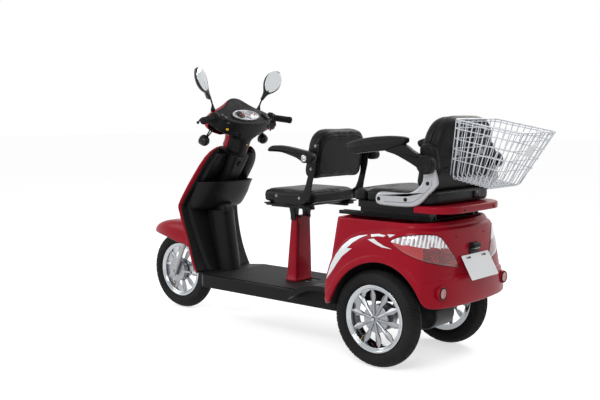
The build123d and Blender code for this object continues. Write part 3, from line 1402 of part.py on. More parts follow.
# Red tail panel, a flat U behind the rear seat frame
PANEL_HIGH = 688.0
PANEL_LOW = 660.0
with BuildPart() as tail_panel:
    with BuildSketch(plan(PANEL_LOW)):
        with BuildLine():
            Polyline((-150, 246), (-236, 246), (-296, 196), (-312, 0), (-296, -196), (-236, -246), (-150, -246), close=True)
        make_face()
        fillet(vertices().sort_by(Axis.X)[0:5], 24)
    extrude(amount=PANEL_HIGH - PANEL_LOW)
    with BuildSketch(plan(PANEL_LOW)):
        with Locations((-100, 0)):
            Rectangle(192, 412 + 2 * GAP)
        with Locations((-205, 0)):
            Rectangle(36, 184)
    extrude(amount=PANEL_HIGH - PANEL_LOW, mode=Mode.SUBTRACT)
tail_panel.part.label = "tail_panel"
export_step(tail_panel.part, "parts/tail_panel.step")

# Number plate, its holder and lamp; round reflector lamps
PLATE_TOP = (-298.0, 484.0)
PLATE_LEAN = 31.0
plate_out = (-cos(radians(PLATE_LEAN)), 0, sin(radians(PLATE_LEAN)))
plate_plane = Plane(origin=(REAR_X + PLATE_TOP[0], 0, PLATE_TOP[1]), x_dir=(0, 1, 0), z_dir=plate_out)
with BuildPart() as plate_holder:
    with BuildSketch(side(60)):
        with BuildLine():
            Polyline((-292, 500), (-284, 530), (-240, 530), (-240, 470), (-296, 470), close=True)
        make_face()
    extrude(amount=120)
    add(wing_solid(-GAP).part, mode=Mode.SUBTRACT)
    with BuildSketch(plate_plane.offset(-2 - GAP)):
        with Locations((0, 24)):
            Rectangle(150, 60)
    extrude(amount=2)
    with BuildSketch(Plane(origin=(REAR_X - 286, 0, 520), x_dir=(0, 1, 0), z_dir=(-1, 0, 0))):
        RectangleRounded(52, 26, 6)
    extrude(amount=16)
plate_holder.part.label = "plate_holder"
export_step(plate_holder.part, "parts/plate_holder.step")

with BuildPart() as number_plate:
    with BuildSketch(plate_plane):
        with Locations((0, 55)):
            RectangleRounded(222, 110, 8)
        with Locations((70, 12), (-70, 12)):
            Circle(3.5, mode=Mode.SUBTRACT)
    extrude(amount=2)
number_plate.part.label = "number_plate"
export_step(number_plate.part, "parts/number_plate.step")

with BuildPart() as bumper_lamps:
    for y in (255, -255):
        with BuildSketch(Plane(origin=(REAR_X - 280, y, 346), z_dir=(-1, 0, 0))):
            Circle(25)
        extrude(amount=26)
    add(wing_solid(-GAP).part, mode=Mode.SUBTRACT)
bumper_lamps.part.label = "bumper_lamps"
export_step(bumper_lamps.part, "parts/bumper_lamps.step")

# Wire basket behind the rear seat: flat grids joined at their edges
WIRE = 4.0
BASKET_TOP_FRONT = (-285.0, 1044.0)
BASKET_TOP_REAR = (-573.0, 990.0)
BASKET_LOW_REAR = (-440.0, 762.0)
BASKET_LOW_FRONT = (-245.0, 800.0)
BASKET_TOP_HALF = 168.0
BASKET_LOW_HALF = 138.0
HOOK_Y = 100.0
HOOK_HALF = 8.0
HOOK_HEIGHTS = (881.0, 1003.0)


def grid_wall(corners, columns, rows):
    """Flat grid of wires between four corners given low start, low end, high end, high start."""
    a, b, c, d = (Vector(REAR_X + p[0], p[1], p[2]) for p in corners)
    normal = (b - a).cross(d - a).normalized()
    wall_plane = Plane(origin=a, x_dir=b - a, z_dir=normal)
    flat = [wall_plane.to_local_coords(p) for p in (a, b, c, d)]
    with BuildSketch(wall_plane) as wall:
        with BuildLine():
            Polyline(*[(p.X, p.Y) for p in flat], close=True)
        make_face()
        for i in range(columns):
            for j in range(rows):
                cell = []
                for u, v in ((i, j), (i + 1, j), (i + 1, j + 1), (i, j + 1)):
                    low = flat[0] + (flat[1] - flat[0]) * (u / columns)
                    high = flat[3] + (flat[2] - flat[3]) * (u / columns)
                    cell.append(low + (high - low) * (v / rows))
                middle = (cell[0] + cell[1] + cell[2] + cell[3]) * 0.25
                window = []
                for p in cell:
                    reach = p - middle
                    shrink_x = 1 - WIRE / 2 / max(abs(reach.X), 1)
                    shrink_y = 1 - WIRE / 2 / max(abs(reach.Y), 1)
                    window.append((middle.X + reach.X * shrink_x, middle.Y + reach.Y * shrink_y))
                with BuildLine():
                    Polyline(*window, close=True)
                make_face(mode=Mode.SUBTRACT)
    return wall.sketch


with BuildPart() as basket:
    tf, tr, lr, lf = BASKET_TOP_FRONT, BASKET_TOP_REAR, BASKET_LOW_REAR, BASKET_LOW_FRONT
    th, lh = BASKET_TOP_HALF, BASKET_LOW_HALF
    for corners, columns, rows in (
        (((lr[0], lh, lr[1]), (lf[0], lh, lf[1]), (tf[0], th, tf[1]), (tr[0], th, tr[1])), 9, 6),
        (((lf[0], -lh, lf[1]), (lr[0], -lh, lr[1]), (tr[0], -th, tr[1]), (tf[0], -th, tf[1])), 9, 6),
        (((lr[0], -lh, lr[1]), (lr[0], lh, lr[1]), (tr[0], th, tr[1]), (tr[0], -th, tr[1])), 10, 6),
        (((lf[0], lh, lf[1]), (lf[0], -lh, lf[1]), (tf[0], -th, tf[1]), (tf[0], th, tf[1])), 10, 6),
        (((lf[0], lh, lf[1]), (lr[0], lh, lr[1]), (lr[0], -lh, lr[1]), (lf[0], -lh, lf[1])), 7, 9),
    ):
        add(grid_wall(corners, columns, rows))
        extrude(amount=WIRE)
    for hook_z in HOOK_HEIGHTS:
        share = (BASKET_TOP_FRONT[1] - hook_z) / (BASKET_TOP_FRONT[1] - BASKET_LOW_FRONT[1])
        wall_x = BASKET_TOP_FRONT[0] + (BASKET_LOW_FRONT[0] - BASKET_TOP_FRONT[0]) * share
        back_x = REAR_BACK_X - (hook_z + WIRE / 2 - REAR_BACK_LOW) * sin(back_lean) / cos(back_lean)
        shell_x = back_x - (REAR_SHELL_THICK + 2 * GAP) / cos(back_lean)
        for hook_y in (HOOK_Y, -HOOK_Y):
            with BuildSketch(side(hook_y + HOOK_HALF)):
                with Locations(((wall_x - WIRE + shell_x) / 2, hook_z)):
                    Rectangle(shell_x - wall_x + WIRE, WIRE)
            extrude(amount=2 * HOOK_HALF)
basket.part.label = "basket"
export_step(basket.part, "parts/basket.step")
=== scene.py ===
from math import atan2, cos, degrees, hypot, pi, radians, sin

import bmesh
import bpy
from mathutils import Matrix, Vector
from mathutils.bvhtree import BVHTree
from mathutils.geometry import tessellate_polygon


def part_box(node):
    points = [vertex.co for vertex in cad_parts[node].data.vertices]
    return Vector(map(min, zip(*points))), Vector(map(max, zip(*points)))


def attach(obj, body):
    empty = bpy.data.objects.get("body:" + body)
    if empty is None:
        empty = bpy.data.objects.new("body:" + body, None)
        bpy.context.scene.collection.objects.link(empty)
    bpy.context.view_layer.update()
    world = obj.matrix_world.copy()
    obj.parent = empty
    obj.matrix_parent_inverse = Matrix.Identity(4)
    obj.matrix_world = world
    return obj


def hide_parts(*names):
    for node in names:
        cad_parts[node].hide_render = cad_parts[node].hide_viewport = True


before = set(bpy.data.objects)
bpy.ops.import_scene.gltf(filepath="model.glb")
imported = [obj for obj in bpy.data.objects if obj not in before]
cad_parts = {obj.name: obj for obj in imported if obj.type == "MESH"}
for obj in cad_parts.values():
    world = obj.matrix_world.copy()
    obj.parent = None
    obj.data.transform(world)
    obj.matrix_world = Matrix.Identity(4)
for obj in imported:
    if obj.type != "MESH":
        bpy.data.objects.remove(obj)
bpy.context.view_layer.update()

# Millimetres ahead of the rear axle, to the left and above the floor become metres in the frame
MM = 0.001
REAR_LOW, REAR_HIGH = (Vector(corner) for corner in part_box("rear_rim_left"))
FRONT_LOW, FRONT_HIGH = (Vector(corner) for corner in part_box("front_rim"))
REAR_X = (REAR_LOW.x + REAR_HIGH.x) / 2
AXLE_Z = (REAR_LOW.z + REAR_HIGH.z) / 2
FRONT_X = (FRONT_LOW.x + FRONT_HIGH.x) / 2
TRACK_HALF = (REAR_LOW.y + REAR_HIGH.y) / 2
RAKE = radians(26)
AXIS_BEHIND = 0.024


def at(x, y, z):
    return Vector((REAR_X + x * MM, y * MM, z * MM))


def steer_at(ahead, left, s):
    """A place in the steering's own drawing: s along the axis from the wheel's height, ahead square to it."""
    ahead, left, s = ahead * MM, left * MM, s * MM
    x = FRONT_X - AXIS_BEHIND - s * sin(RAKE) + ahead * cos(RAKE)
    return Vector((x, left, AXLE_Z + s * cos(RAKE) + ahead * sin(RAKE)))


STEER_UP = Vector((-sin(RAKE), 0, cos(RAKE)))
STEER_AHEAD = Vector((cos(RAKE), 0, sin(RAKE)))


# Camera, in metres and degrees, solved from the photograph
CAMERA_PLACE = Vector((-2.7571, 3.3497, 1.0737))
CAMERA_AZIMUTH = -49.615
CAMERA_ELEVATION = -5.617
CAMERA_ROLL = 0.248
CAMERA_LENS = 54.65
SENSOR_WIDTH = 36.0


def add_camera():
    azimuth, elevation, roll = radians(CAMERA_AZIMUTH), radians(CAMERA_ELEVATION), radians(CAMERA_ROLL)
    ahead = Vector((cos(elevation) * cos(azimuth), cos(elevation) * sin(azimuth), sin(elevation)))
    right = ahead.cross(Vector((0, 0, 1))).normalized()
    up = right.cross(ahead)
    turned_right = right * cos(roll) + up * sin(roll)
    turned_up = up * cos(roll) - right * sin(roll)
    data = bpy.data.cameras.new("camera")
    data.lens = CAMERA_LENS
    data.sensor_width = SENSOR_WIDTH
    camera = bpy.data.objects.new("camera", data)
    turn = Matrix((turned_right, turned_up, -ahead)).transposed().to_4x4()
    camera.matrix_world = Matrix.Translation(CAMERA_PLACE) @ turn
    bpy.context.collection.objects.link(camera)
    bpy.context.scene.camera = camera


add_camera()


# Light and floor
WORLD_LIGHT = 0.45
FLOOR_WHITE = 0.62
FLOOR_SIZE = 60
FLOOR_GREY = 0.8
# Columns: name, place, aim, size, power
AREA_LIGHTS = (
    ("key_light", (-1.6, 3.6, 3.0), (0, 0, 0.4), (2.6, 1.2), 80),
    ("fill_light", (3.0, 2.4, 2.2), (0, 0, 0.5), (2.0, 2.0), 40),
    ("rim_light", (-0.6, -3.2, 3.0), (0, 0, 0.6), (3.0, 1.2), 55),
)


def area_light(name, place, aim, size, power):
    data = bpy.data.lights.new(name, "AREA")
    data.shape = "RECTANGLE"
    data.size, data.size_y = size
    data.energy = power
    lamp = bpy.data.objects.new(name, data)
    lamp.location = place
    lamp.rotation_euler = (Vector(aim) - Vector(place)).to_track_quat("-Z", "Y").to_euler()
    bpy.context.collection.objects.link(lamp)


for row in AREA_LIGHTS:
    area_light(*row)


def seen_rays(tree):
    """1 for rays that the camera, a reflection or glass sends, 0 for those that light the object."""
    rays = tree.nodes.new("ShaderNodeLightPath")
    seen = None
    for name in ("Is Camera Ray", "Is Glossy Ray", "Is Transmission Ray"):
        if seen is None:
            seen = rays.outputs[name]
            continue
        more = tree.nodes.new("ShaderNodeMath")
        more.operation = "MAXIMUM"
        tree.links.new(seen, more.inputs[0])
        tree.links.new(rays.outputs[name], more.inputs[1])
        seen = more.outputs[0]
    return seen


def ranged(tree, source, low, high):
    made = tree.nodes.new("ShaderNodeMapRange")
    made.inputs["To Min"].default_value = low
    made.inputs["To Max"].default_value = high
    tree.links.new(source, made.inputs["Value"])
    return made.outputs["Result"]


def studio():
    world = bpy.data.worlds.new("studio")
    world.use_nodes = True
    tree = world.node_tree
    back = tree.nodes["Background"]
    back.inputs["Color"].default_value = (1, 1, 1, 1)
    tree.links.new(ranged(tree, seen_rays(tree), WORLD_LIGHT, 1.0), back.inputs["Strength"])
    bpy.context.scene.world = world
    bpy.context.scene.view_settings.view_transform = "Standard"
    bpy.ops.mesh.primitive_plane_add(size=FLOOR_SIZE)
    plane = bpy.context.object
    plane.name = "floor"
    material = bpy.data.materials.new("floor")
    material.use_nodes = True
    tree = material.node_tree
    paint = tree.nodes["Principled BSDF"]
    paint.inputs["Base Color"].default_value = (FLOOR_GREY, FLOOR_GREY, FLOOR_GREY, 1)
    paint.inputs["Roughness"].default_value = 1.0
    paint.inputs["Specular IOR Level"].default_value = 0.0
    paint.inputs["Emission Color"].default_value = (1, 1, 1, 1)
    tree.links.new(ranged(tree, seen_rays(tree), 0.0, FLOOR_WHITE), paint.inputs["Emission Strength"])
    plane.data.materials.append(material)


studio()


# Materials
class Look:
    """A node material in the making, with short names for what most materials here need."""

    def __init__(self, name, colour, rough, metallic=0.0, coat=0.0, shine=0.5):
        self.material = bpy.data.materials.new(name)
        self.material.use_nodes = True
        self.tree = self.material.node_tree
        self.paint = self.tree.nodes["Principled BSDF"]
        self.paint.inputs["Base Color"].default_value = (*colour, 1)
        self.paint.inputs["Roughness"].default_value = rough
        self.paint.inputs["Metallic"].default_value = metallic
        self.paint.inputs["Coat Weight"].default_value = coat
        self.paint.inputs["Coat Roughness"].default_value = 0.04
        self.paint.inputs["Specular IOR Level"].default_value = shine
        self.colour = colour

    def node(self, kind, **inputs):
        made = self.tree.nodes.new("ShaderNode" + kind)
        for key, value in inputs.items():
            name = key.replace("_", " ")
            if name in made.inputs:
                if isinstance(value, bpy.types.NodeSocket):
                    self.tree.links.new(value, made.inputs[name])
                else:
                    made.inputs[name].default_value = value
            else:
                setattr(made, key, value)
        return made

    def place(self, stretch=(1, 1, 1), kind="Object"):
        coordinates = self.node("TexCoord").outputs[kind]
        return self.node("Mapping", Vector=coordinates, Scale=stretch).outputs["Vector"]

    def noise(self, scale, detail=4.0, stretch=(1, 1, 1)):
        return self.node("TexNoise", Vector=self.place(stretch), Scale=scale, Detail=detail).outputs["Fac"]

    def cells(self, scale, stretch=(1, 1, 1), feature="F1"):
        made = self.node("TexVoronoi", Vector=self.place(stretch), Scale=scale)
        made.feature = feature
        return made.outputs["Distance"]

    def span(self, source, low, high, start=0.0, end=1.0):
        made = self.node("MapRange")
        self.tree.links.new(source, made.inputs["Value"])
        for name, value in (("From Min", start), ("From Max", end), ("To Min", low), ("To Max", high)):
            made.inputs[name].default_value = value
        return made.outputs["Result"]

    def math(self, operation, first, second=0.0):
        made = self.node("Math")
        made.operation = operation
        for socket, value in zip(made.inputs, (first, second)):
            if isinstance(value, bpy.types.NodeSocket):
                self.tree.links.new(value, socket)
            else:
                socket.default_value = value
        return made.outputs[0]

    def blend(self, factor, first, second):
        made = self.node("Mix")
        made.data_type = "RGBA"
        self.tree.links.new(factor, made.inputs["Factor"])
        for socket, value in ((made.inputs[6], first), (made.inputs[7], second)):
            if isinstance(value, bpy.types.NodeSocket):
                self.tree.links.new(value, socket)
            else:
                socket.default_value = (*value, 1)
        return made.outputs[2]

    def bump(self, height, depth, strength=1.0):
        """Relief of the given depth in metres."""
        made = self.node("Bump", Height=height, Distance=depth, Strength=strength)
        if self.paint.inputs["Normal"].is_linked:
            self.tree.links.new(self.paint.inputs["Normal"].links[0].from_socket, made.inputs["Normal"])
        self.tree.links.new(made.outputs["Normal"], self.paint.inputs["Normal"])

    def wire(self, socket, value):
        self.tree.links.new(value, self.paint.inputs[socket])

    def worn(self, amount, scale=6.0):
        """Broad, faint difference in shade, as handled and dusty surfaces have."""
        dark = tuple(c * (1 - amount) for c in self.colour)
        light = tuple(min(1.0, c * (1 + amount) + amount * 0.01) for c in self.colour)
        self.wire("Base Color", self.blend(self.noise(scale, 3), dark, light))


RED = (0.27, 0.003, 0.013)
BLACK = (0.0065, 0.0065, 0.007)


def red_paint():
    look = Look("red_paint", RED, 0.34, coat=0.10, shine=0.16)
    look.paint.inputs["Specular Tint"].default_value = (0.9, 0.25, 0.3, 1)
    flake = look.cells(900)
    broad = look.noise(3.0, 2)
    deep = look.blend(look.span(broad, 0, 1, 0.3, 0.7), (0.21, 0.002, 0.010), (0.31, 0.004, 0.015))
    look.wire("Base Color", look.blend(look.span(flake, 0, 0.5, 0.2, 0.6), deep, (0.36, 0.008, 0.022)))
    look.bump(look.noise(60, 2), 0.00004)
    return look.material


def black_plastic():
    look = Look("black_plastic", BLACK, 0.45, shine=0.11)
    look.worn(0.35)
    look.wire("Roughness", look.span(look.noise(12, 4), 0.36, 0.52))
    look.bump(look.cells(1400), 0.00012, 0.6)
    return look.material


def black_metal():
    look = Look("black_metal", (0.0065, 0.0065, 0.007), 0.34, coat=0.06, shine=0.14)
    look.wire("Roughness", look.span(look.noise(25, 5), 0.25, 0.45))
    look.bump(look.noise(500, 3), 0.00005)
    return look.material


def rubber():
    look = Look("tyre_rubber", (0.010, 0.010, 0.011), 0.62, shine=0.12)
    dusty = look.noise(9, 6)
    look.wire(
        "Base Color",
        look.blend(look.span(dusty, 0, 1, 0.35, 0.75), (0.007, 0.007, 0.008), (0.020, 0.020, 0.021))
    )
    look.wire("Roughness", look.span(dusty, 0.5, 0.8))
    look.bump(look.noise(700, 3), 0.0001)
    return look.material


def leather():
    look = Look("seat_leather", (0.0075, 0.0075, 0.0085), 0.36, shine=0.14)
    look.wire("Roughness", look.span(look.noise(14, 4), 0.3, 0.46))
    look.bump(look.cells(420, feature="SMOOTH_F1"), 0.0005, 0.55)
    look.bump(look.noise(28, 4), 0.0016, 0.5)
    return look.material


def alloy():
    look = Look("cast_alloy", (0.31, 0.32, 0.34), 0.32, metallic=0.85)
    look.wire("Roughness", look.span(look.noise(40, 4), 0.24, 0.4))
    look.bump(look.noise(650, 3), 0.00006)
    return look.material


def chrome():
    look = Look("chrome", (0.44, 0.46, 0.48), 0.09, metallic=1.0)
    look.wire("Roughness", look.span(look.noise(18, 3), 0.04, 0.12))
    return look.material


def silver_paint():
    look = Look("silver_paint", (0.42, 0.43, 0.45), 0.33, metallic=0.25, coat=0.25)
    look.worn(0.05, 9)
    look.bump(look.noise(900, 2), 0.00003)
    return look.material


def dull_metal():
    look = Look("dull_metal", (0.30, 0.30, 0.31), 0.42, metallic=0.8)
    look.worn(0.25, 30)
    look.bump(look.noise(300, 4), 0.0001)
    return look.material


def white_wire():
    look = Look("white_wire", (0.62, 0.65, 0.70), 0.28, coat=0.4)
    look.worn(0.04, 20)
    look.bump(look.noise(400, 3), 0.00005)
    return look.material


def white_plate():
    look = Look("white_plate", (0.80, 0.82, 0.83), 0.3, coat=0.3)
    look.worn(0.03, 12)
    return look.material


def floor_mat():
    look = Look("mat_rubber", (0.009, 0.009, 0.010), 0.55, shine=0.11)
    studs = look.cells(190)
    look.bump(look.span(studs, 1, 0, 0.15, 0.5), 0.0012)
    look.worn(0.3, 7)
    return look.material


def ribbed_rubber():
    look = Look("grip_rubber", (0.008, 0.008, 0.008), 0.6, shine=0.12)
    rings = look.node("TexWave", Vector=look.place(), Scale=160.0)
    rings.bands_direction = "Y"
    look.bump(rings.outputs["Fac"], 0.0008)
    return look.material


def mirror_glass():
    look = Look("mirror_glass", (0.62, 0.65, 0.66), 0.06, metallic=1.0)
    look.wire("Roughness", look.span(look.noise(60, 3), 0.04, 0.09))
    return look.material


def plain(name, colour, rough, metallic=0.0, coat=0.0, shine=0.4):
    look = Look(name, colour, rough, metallic, coat, shine)
    look.worn(0.08, 40)
    look.wire("Roughness", look.span(look.noise(80, 3), max(0.03, rough - 0.06), rough + 0.06))
    return look.material


LOOKS = {
    "red_paint": red_paint(), "black_plastic": black_plastic(), "black_metal": black_metal(),
    "tyre": rubber(), "leather": leather(), "alloy": alloy(), "chrome": chrome(),
    "silver": silver_paint(), "dull_metal": dull_metal(), "white_wire": white_wire(),
    "plate": white_plate(), "mat": floor_mat(), "grip": ribbed_rubber(), "mirror": mirror_glass(),
    "decal": plain("decal_white", (0.72, 0.75, 0.78), 0.25, coat=0.5),
    "yellow": plain("yellow_patch", (0.85, 0.48, 0.02), 0.4),
    "red_button": plain("red_button", (0.55, 0.01, 0.012), 0.35, coat=0.3),
    "brass": plain("brass", (0.62, 0.36, 0.12), 0.3, 0.9),
    "dial": plain("dial_face", (0.42, 0.43, 0.45), 0.3, 0.3, 0.6),
    "liner": plain("arch_liner", (0.010, 0.010, 0.010), 0.75, shine=0.15),
    "cable": plain("cable_black", (0.007, 0.007, 0.007), 0.45, shine=0.12),
    "grey": plain("grey_plastic", (0.05, 0.05, 0.055), 0.5),
    "black_gloss": plain("black_gloss", (0.007, 0.007, 0.008), 0.2, shine=0.25),
    "lamp_pale": plain("pale_lens", (0.72, 0.68, 0.60), 0.16, coat=0.5),
    "needle": plain("needle_orange", (0.80, 0.10, 0.02), 0.4),
}


# Mesh makers
def piece(name, vertices, faces, look, body, stands_for=(), smooth=True, slot=None):
    """A mesh object in the frame, with its material, riding on a body."""
    mesh = bpy.data.meshes.new(name)
    mesh.from_pydata([tuple(v) for v in vertices], [], faces)
    mesh.validate()
    made = bpy.data.objects.new(name, mesh)
    bpy.context.collection.objects.link(made)
    tidy = bmesh.new()
    tidy.from_mesh(mesh)
    bmesh.ops.recalc_face_normals(tidy, faces=tidy.faces)
    tidy.to_mesh(mesh)
    tidy.free()
    for polygon in mesh.polygons:
        polygon.use_smooth = smooth
    for entry in (look if isinstance(look, (list, tuple)) else [look]):
        mesh.materials.append(LOOKS[entry])
    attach(made, body)
    if stands_for:
        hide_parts(*([stands_for] if isinstance(stands_for, str) else stands_for))
    return made


def modify(made, kind, **settings):
    added = made.modifiers.new(kind.lower(), kind)
    for key, value in settings.items():
        setattr(added, key, value)
    return added


def applied(made):
    """The mesh with its modifiers applied."""
    graph = bpy.context.evaluated_depsgraph_get()
    mesh = bpy.data.meshes.new_from_object(made.evaluated_get(graph))
    old = made.data
    made.modifiers.clear()
    made.data = mesh
    bpy.data.meshes.remove(old)
    mesh.name = made.name
    return made


def bevel(made, width, angle, segments=2):
    """Round the edges that fold by more than the angle in degrees."""
    modify(made, "BEVEL", width=width, segments=segments, limit_method="ANGLE", angle_limit=radians(angle))


def subdivided(made, levels=1):
    modify(made, "SUBSURF", levels=levels, render_levels=levels)
    return applied(made)


def thickened(made, thickness, offset=0):
    modify(made, "SOLIDIFY", thickness=thickness, offset=offset)
    return applied(made)


def smooth_faces(made, smooth=True):
    for polygon in made.data.polygons:
        polygon.use_smooth = smooth


def drop_loose(made):
    """Take out vertices that no face uses."""
    loose = bmesh.new()
    loose.from_mesh(made.data)
    bmesh.ops.delete(loose, geom=[v for v in loose.verts if not v.link_faces], context="VERTS")
    loose.to_mesh(made.data)
    loose.free()


def bent(value, power):
    """A power that keeps the sign, for rounded boxes."""
    return abs(value) ** power * (1 if value > 0 else -1)


def grid_faces(rows, columns, close_columns=False, close_rows=False, start=0):
    faces = []
    for i in range(rows if close_rows else rows - 1):
        for j in range(columns if close_columns else columns - 1):
            k, m = (i + 1) % rows, (j + 1) % columns
            here, beyond = start + i * columns, start + k * columns
            faces.append((here + j, here + m, beyond + m, beyond + j))
    return faces


def capped(rows, count, closed=True):
    """Faces of rows of count vertices each, with one face over the first row and one over the last."""
    faces = grid_faces(rows, count, close_columns=closed)
    return faces + [tuple(range(count)), tuple(range((rows - 1) * count, rows * count))]


def smooth_line(points, steps, closed=False):
    """Points on a curve that runs through the given ones."""
    points = [Vector(p) for p in points]
    count = len(points)
    line = []
    for i in range(count if closed else count - 1):
        if closed:
            a, b, c, d = (points[(i + k) % count] for k in (-1, 0, 1, 2))
        else:
            b, c = points[i], points[i + 1]
            a = points[i - 1] if i else b * 2 - c
            d = points[i + 2] if i + 2 < count else c * 2 - b
        for step in range(steps):
            t = step / steps
            square, cube = (2 * a - 5 * b + 4 * c - d) * t * t, (3 * b - a - 3 * c + d) * t ** 3
            line.append(0.5 * (2 * b + (c - a) * t + square + cube))
    if not closed:
        line.append(points[-1])
    return line


def flowing(points, steps):
    """A closed flat outline that runs smoothly through the given 2D points."""
    return [p.xy for p in smooth_line([Vector((p[0], p[1], 0)) for p in points], steps, closed=True)]


def tube_mesh(points, radii, sides=12, closed=False, squash=1.0, up=None):
    """Vertices and faces of a tube along points; radii is one radius or one for each point."""
    count = len(points)
    if not isinstance(radii, (list, tuple)):
        radii = [radii] * count
    vertices, frame_side = [], None
    for i, point in enumerate(points):
        ahead = points[(i + 1) % count] if closed or i + 1 < count else point
        behind = points[i - 1] if closed or i else point
        along = (ahead - behind).normalized()
        if frame_side is None:
            guess = Vector(up) if up else (Vector((0, 0, 1)) if abs(along.z) < 0.9 else Vector((1, 0, 0)))
            frame_side = along.cross(guess).normalized()
        frame_side = (frame_side - along * frame_side.dot(along)).normalized()
        other = along.cross(frame_side)
        for k in range(sides):
            angle = 2 * pi * k / sides
            vertices.append(point + (frame_side * cos(angle) + other * sin(angle) * squash) * radii[i])
    if closed:
        return vertices, grid_faces(count, sides, close_columns=True, close_rows=True)
    return vertices, capped(count, sides)


def in_steps(table, steps):
    """The rows of a table with straight steps between them."""
    rows = []
    for a, b in zip(table, table[1:]):
        rows += [tuple(p + (q - p) * k / steps for p, q in zip(a, b)) for k in range(steps)]
    return rows + [table[-1]]


def join(parts):
    """One vertex and face list from several."""
    vertices, faces = [], []
    for more_vertices, more_faces in parts:
        start = len(vertices)
        vertices += list(more_vertices)
        faces += [tuple(index + start for index in face) for face in more_faces]
    return vertices, faces


def lathe_mesh(profile, centre, axis, turns=64, start=None):
    """Revolve (along, radius) pairs in metres round an axis through centre."""
    axis = Vector(axis).normalized()
    side = axis.cross(
        Vector(start) if start else (Vector((0, 0, 1)) if abs(axis.z) < 0.9 else Vector((1, 0, 0)))
    ).normalized()
    other = axis.cross(side)
    vertices = []
    for along, radius in profile:
        for k in range(turns):
            angle = 2 * pi * k / turns
            vertices.append(centre + axis * along + (side * cos(angle) + other * sin(angle)) * radius)
    faces = grid_faces(len(profile), turns, close_columns=True)
    if profile[0][1] > 1e-5:
        faces.append(tuple(reversed(range(turns))))
    if profile[-1][1] > 1e-5:
        faces.append(tuple(range((len(profile) - 1) * turns, len(profile) * turns)))
    return vertices, faces


def turned(name, profile, centre, axis, turns, *more, **settings):
    """The piece that lathe_mesh makes; what follows turns goes to piece."""
    return piece(name, *lathe_mesh(profile, centre, axis, turns), *more, **settings)


def slab_mesh(outline, offset):
    """A flat outline made thick by the vector offset."""
    count = len(outline)
    vertices = list(outline) + [p + offset for p in outline]
    triangles = tessellate_polygon([[Vector(p) for p in outline]])
    faces = [tuple(t) for t in triangles] + [tuple(i + count for i in reversed(t)) for t in triangles]
    for i in range(count):
        k = (i + 1) % count
        faces.append((i, k, k + count, i + count))
    return vertices, faces


def sides(build):
    """Build for the left side and its mirror image, side being 1 or -1."""
    return [build(1, "left"), build(-1, "right")]


# Wheels
TYRE_R = 0.208
# Side wall from the bead to the shoulder: (half width, radius)
TYRE_WALL = (
    (0.0268, 0.129), (0.0268, 0.1452), (0.0300, 0.1466), (0.0345, 0.1545), (0.0355, 0.1550), (0.0385, 0.1660),
    (0.0398, 0.1760), (0.0396, 0.1840), (0.0375, 0.1915), (0.0340, 0.1958),
)
CROWN_HALF, CROWN_DROP, CROWN_STEPS = 0.030, 0.011, 28
TREAD_REPEATS, TREAD_STEPS = 40, 8
TREAD_DEPTH, SHOULDER_DEPTH = 0.0032, 0.0022
# Radii between which the tread's cuts run down the shoulder
SHOULDER = (0.190, 0.197)


def tread_cut(along, turn):
    """How deep the tread is cut at a place: along from -1 to 1 over its width, turn in repeats."""
    side_turn = turn + (0.5 if along < 0 else 0.0)
    zigzag = abs((turn % 1.0) - 0.5) * 2 - 0.5
    middle = abs(along - 0.09 * zigzag)
    if middle < 0.055:
        return 1.0
    slanted = (side_turn + 0.55 * abs(along)) % 1.0
    if abs(along) > 0.2 and slanted < 0.16:
        return 1.0
    short = (side_turn + 0.5 + 0.55 * abs(along)) % 1.0
    return 0.7 if abs(along) > 0.62 and short < 0.12 else 0.0


def tyre(name, centre, body, node):
    steps = TREAD_REPEATS * TREAD_STEPS
    crown = [-CROWN_HALF + 2 * CROWN_HALF * k / CROWN_STEPS for k in range(CROWN_STEPS + 1)]
    profile = [(-along, radius, None) for along, radius in TYRE_WALL]
    for along in crown:
        profile.append((along, TYRE_R - CROWN_DROP * (along / CROWN_HALF) ** 2, along / CROWN_HALF))
    profile += [(along, radius, None) for along, radius in reversed(TYRE_WALL)]
    vertices = []
    for along, radius, across in profile:
        for k in range(steps):
            angle = 2 * pi * k / steps
            reach = radius
            if across is not None:
                reach -= TREAD_DEPTH * tread_cut(across, k / TREAD_STEPS)
            elif SHOULDER[0] < radius < SHOULDER[1]:
                reach -= SHOULDER_DEPTH * tread_cut(0.95 if along > 0 else -0.95, k / TREAD_STEPS)
            vertices.append(centre + Vector((reach * cos(angle), along, reach * sin(angle))))
    faces = grid_faces(len(profile), steps, close_columns=True, close_rows=True)
    return piece(name, vertices, faces, "tyre", body, node)


# Columns: radius, half width, height of the ridge, of the edges and of the back, along the axle
SPOKE_RINGS = (
    (0.010, 0.0045, 0.030, 0.0275, 0.0150),
    (0.030, 0.0055, 0.0295, 0.0260, 0.0120),
    (0.060, 0.0060, 0.0270, 0.0225, 0.0090),
    (0.088, 0.0130, 0.0250, 0.0180, 0.0080),
    (0.100, 0.0135, 0.0240, 0.0170, 0.0080),
    (0.124, 0.0050, 0.0225, 0.0185, 0.0090),
)
SPOKES = 10
# Turned profiles, as (along the axle, radius)
RIM_BARREL = [
    (-0.0330, 0.1190), (-0.0330, 0.1425), (-0.0322, 0.1440), (-0.0290, 0.1440), (-0.0280, 0.1425),
    (-0.0280, 0.1290), (0.0280, 0.1290), (0.0280, 0.1425), (0.0290, 0.1440), (0.0322, 0.1440),
    (0.0330, 0.1425), (0.0330, 0.1370), (0.0305, 0.1345), (0.0300, 0.1300), (0.0265, 0.1275),
    (0.0255, 0.1235), (0.0140, 0.1215), (0.0080, 0.1190), (-0.0200, 0.1190), (-0.0330, 0.1190),
]
RIM_HUB = [
    (-0.027, 0.010), (-0.027, 0.040), (-0.010, 0.052), (0.010, 0.0615), (0.0165, 0.0615), (0.0180, 0.0600),
    (0.0185, 0.0450), (0.0210, 0.0200), (0.0320, 0.0165), (0.0335, 0.0150), (0.0335, 0.0105),
    (0.0300, 0.0095), (0.0300, 0.0),
]
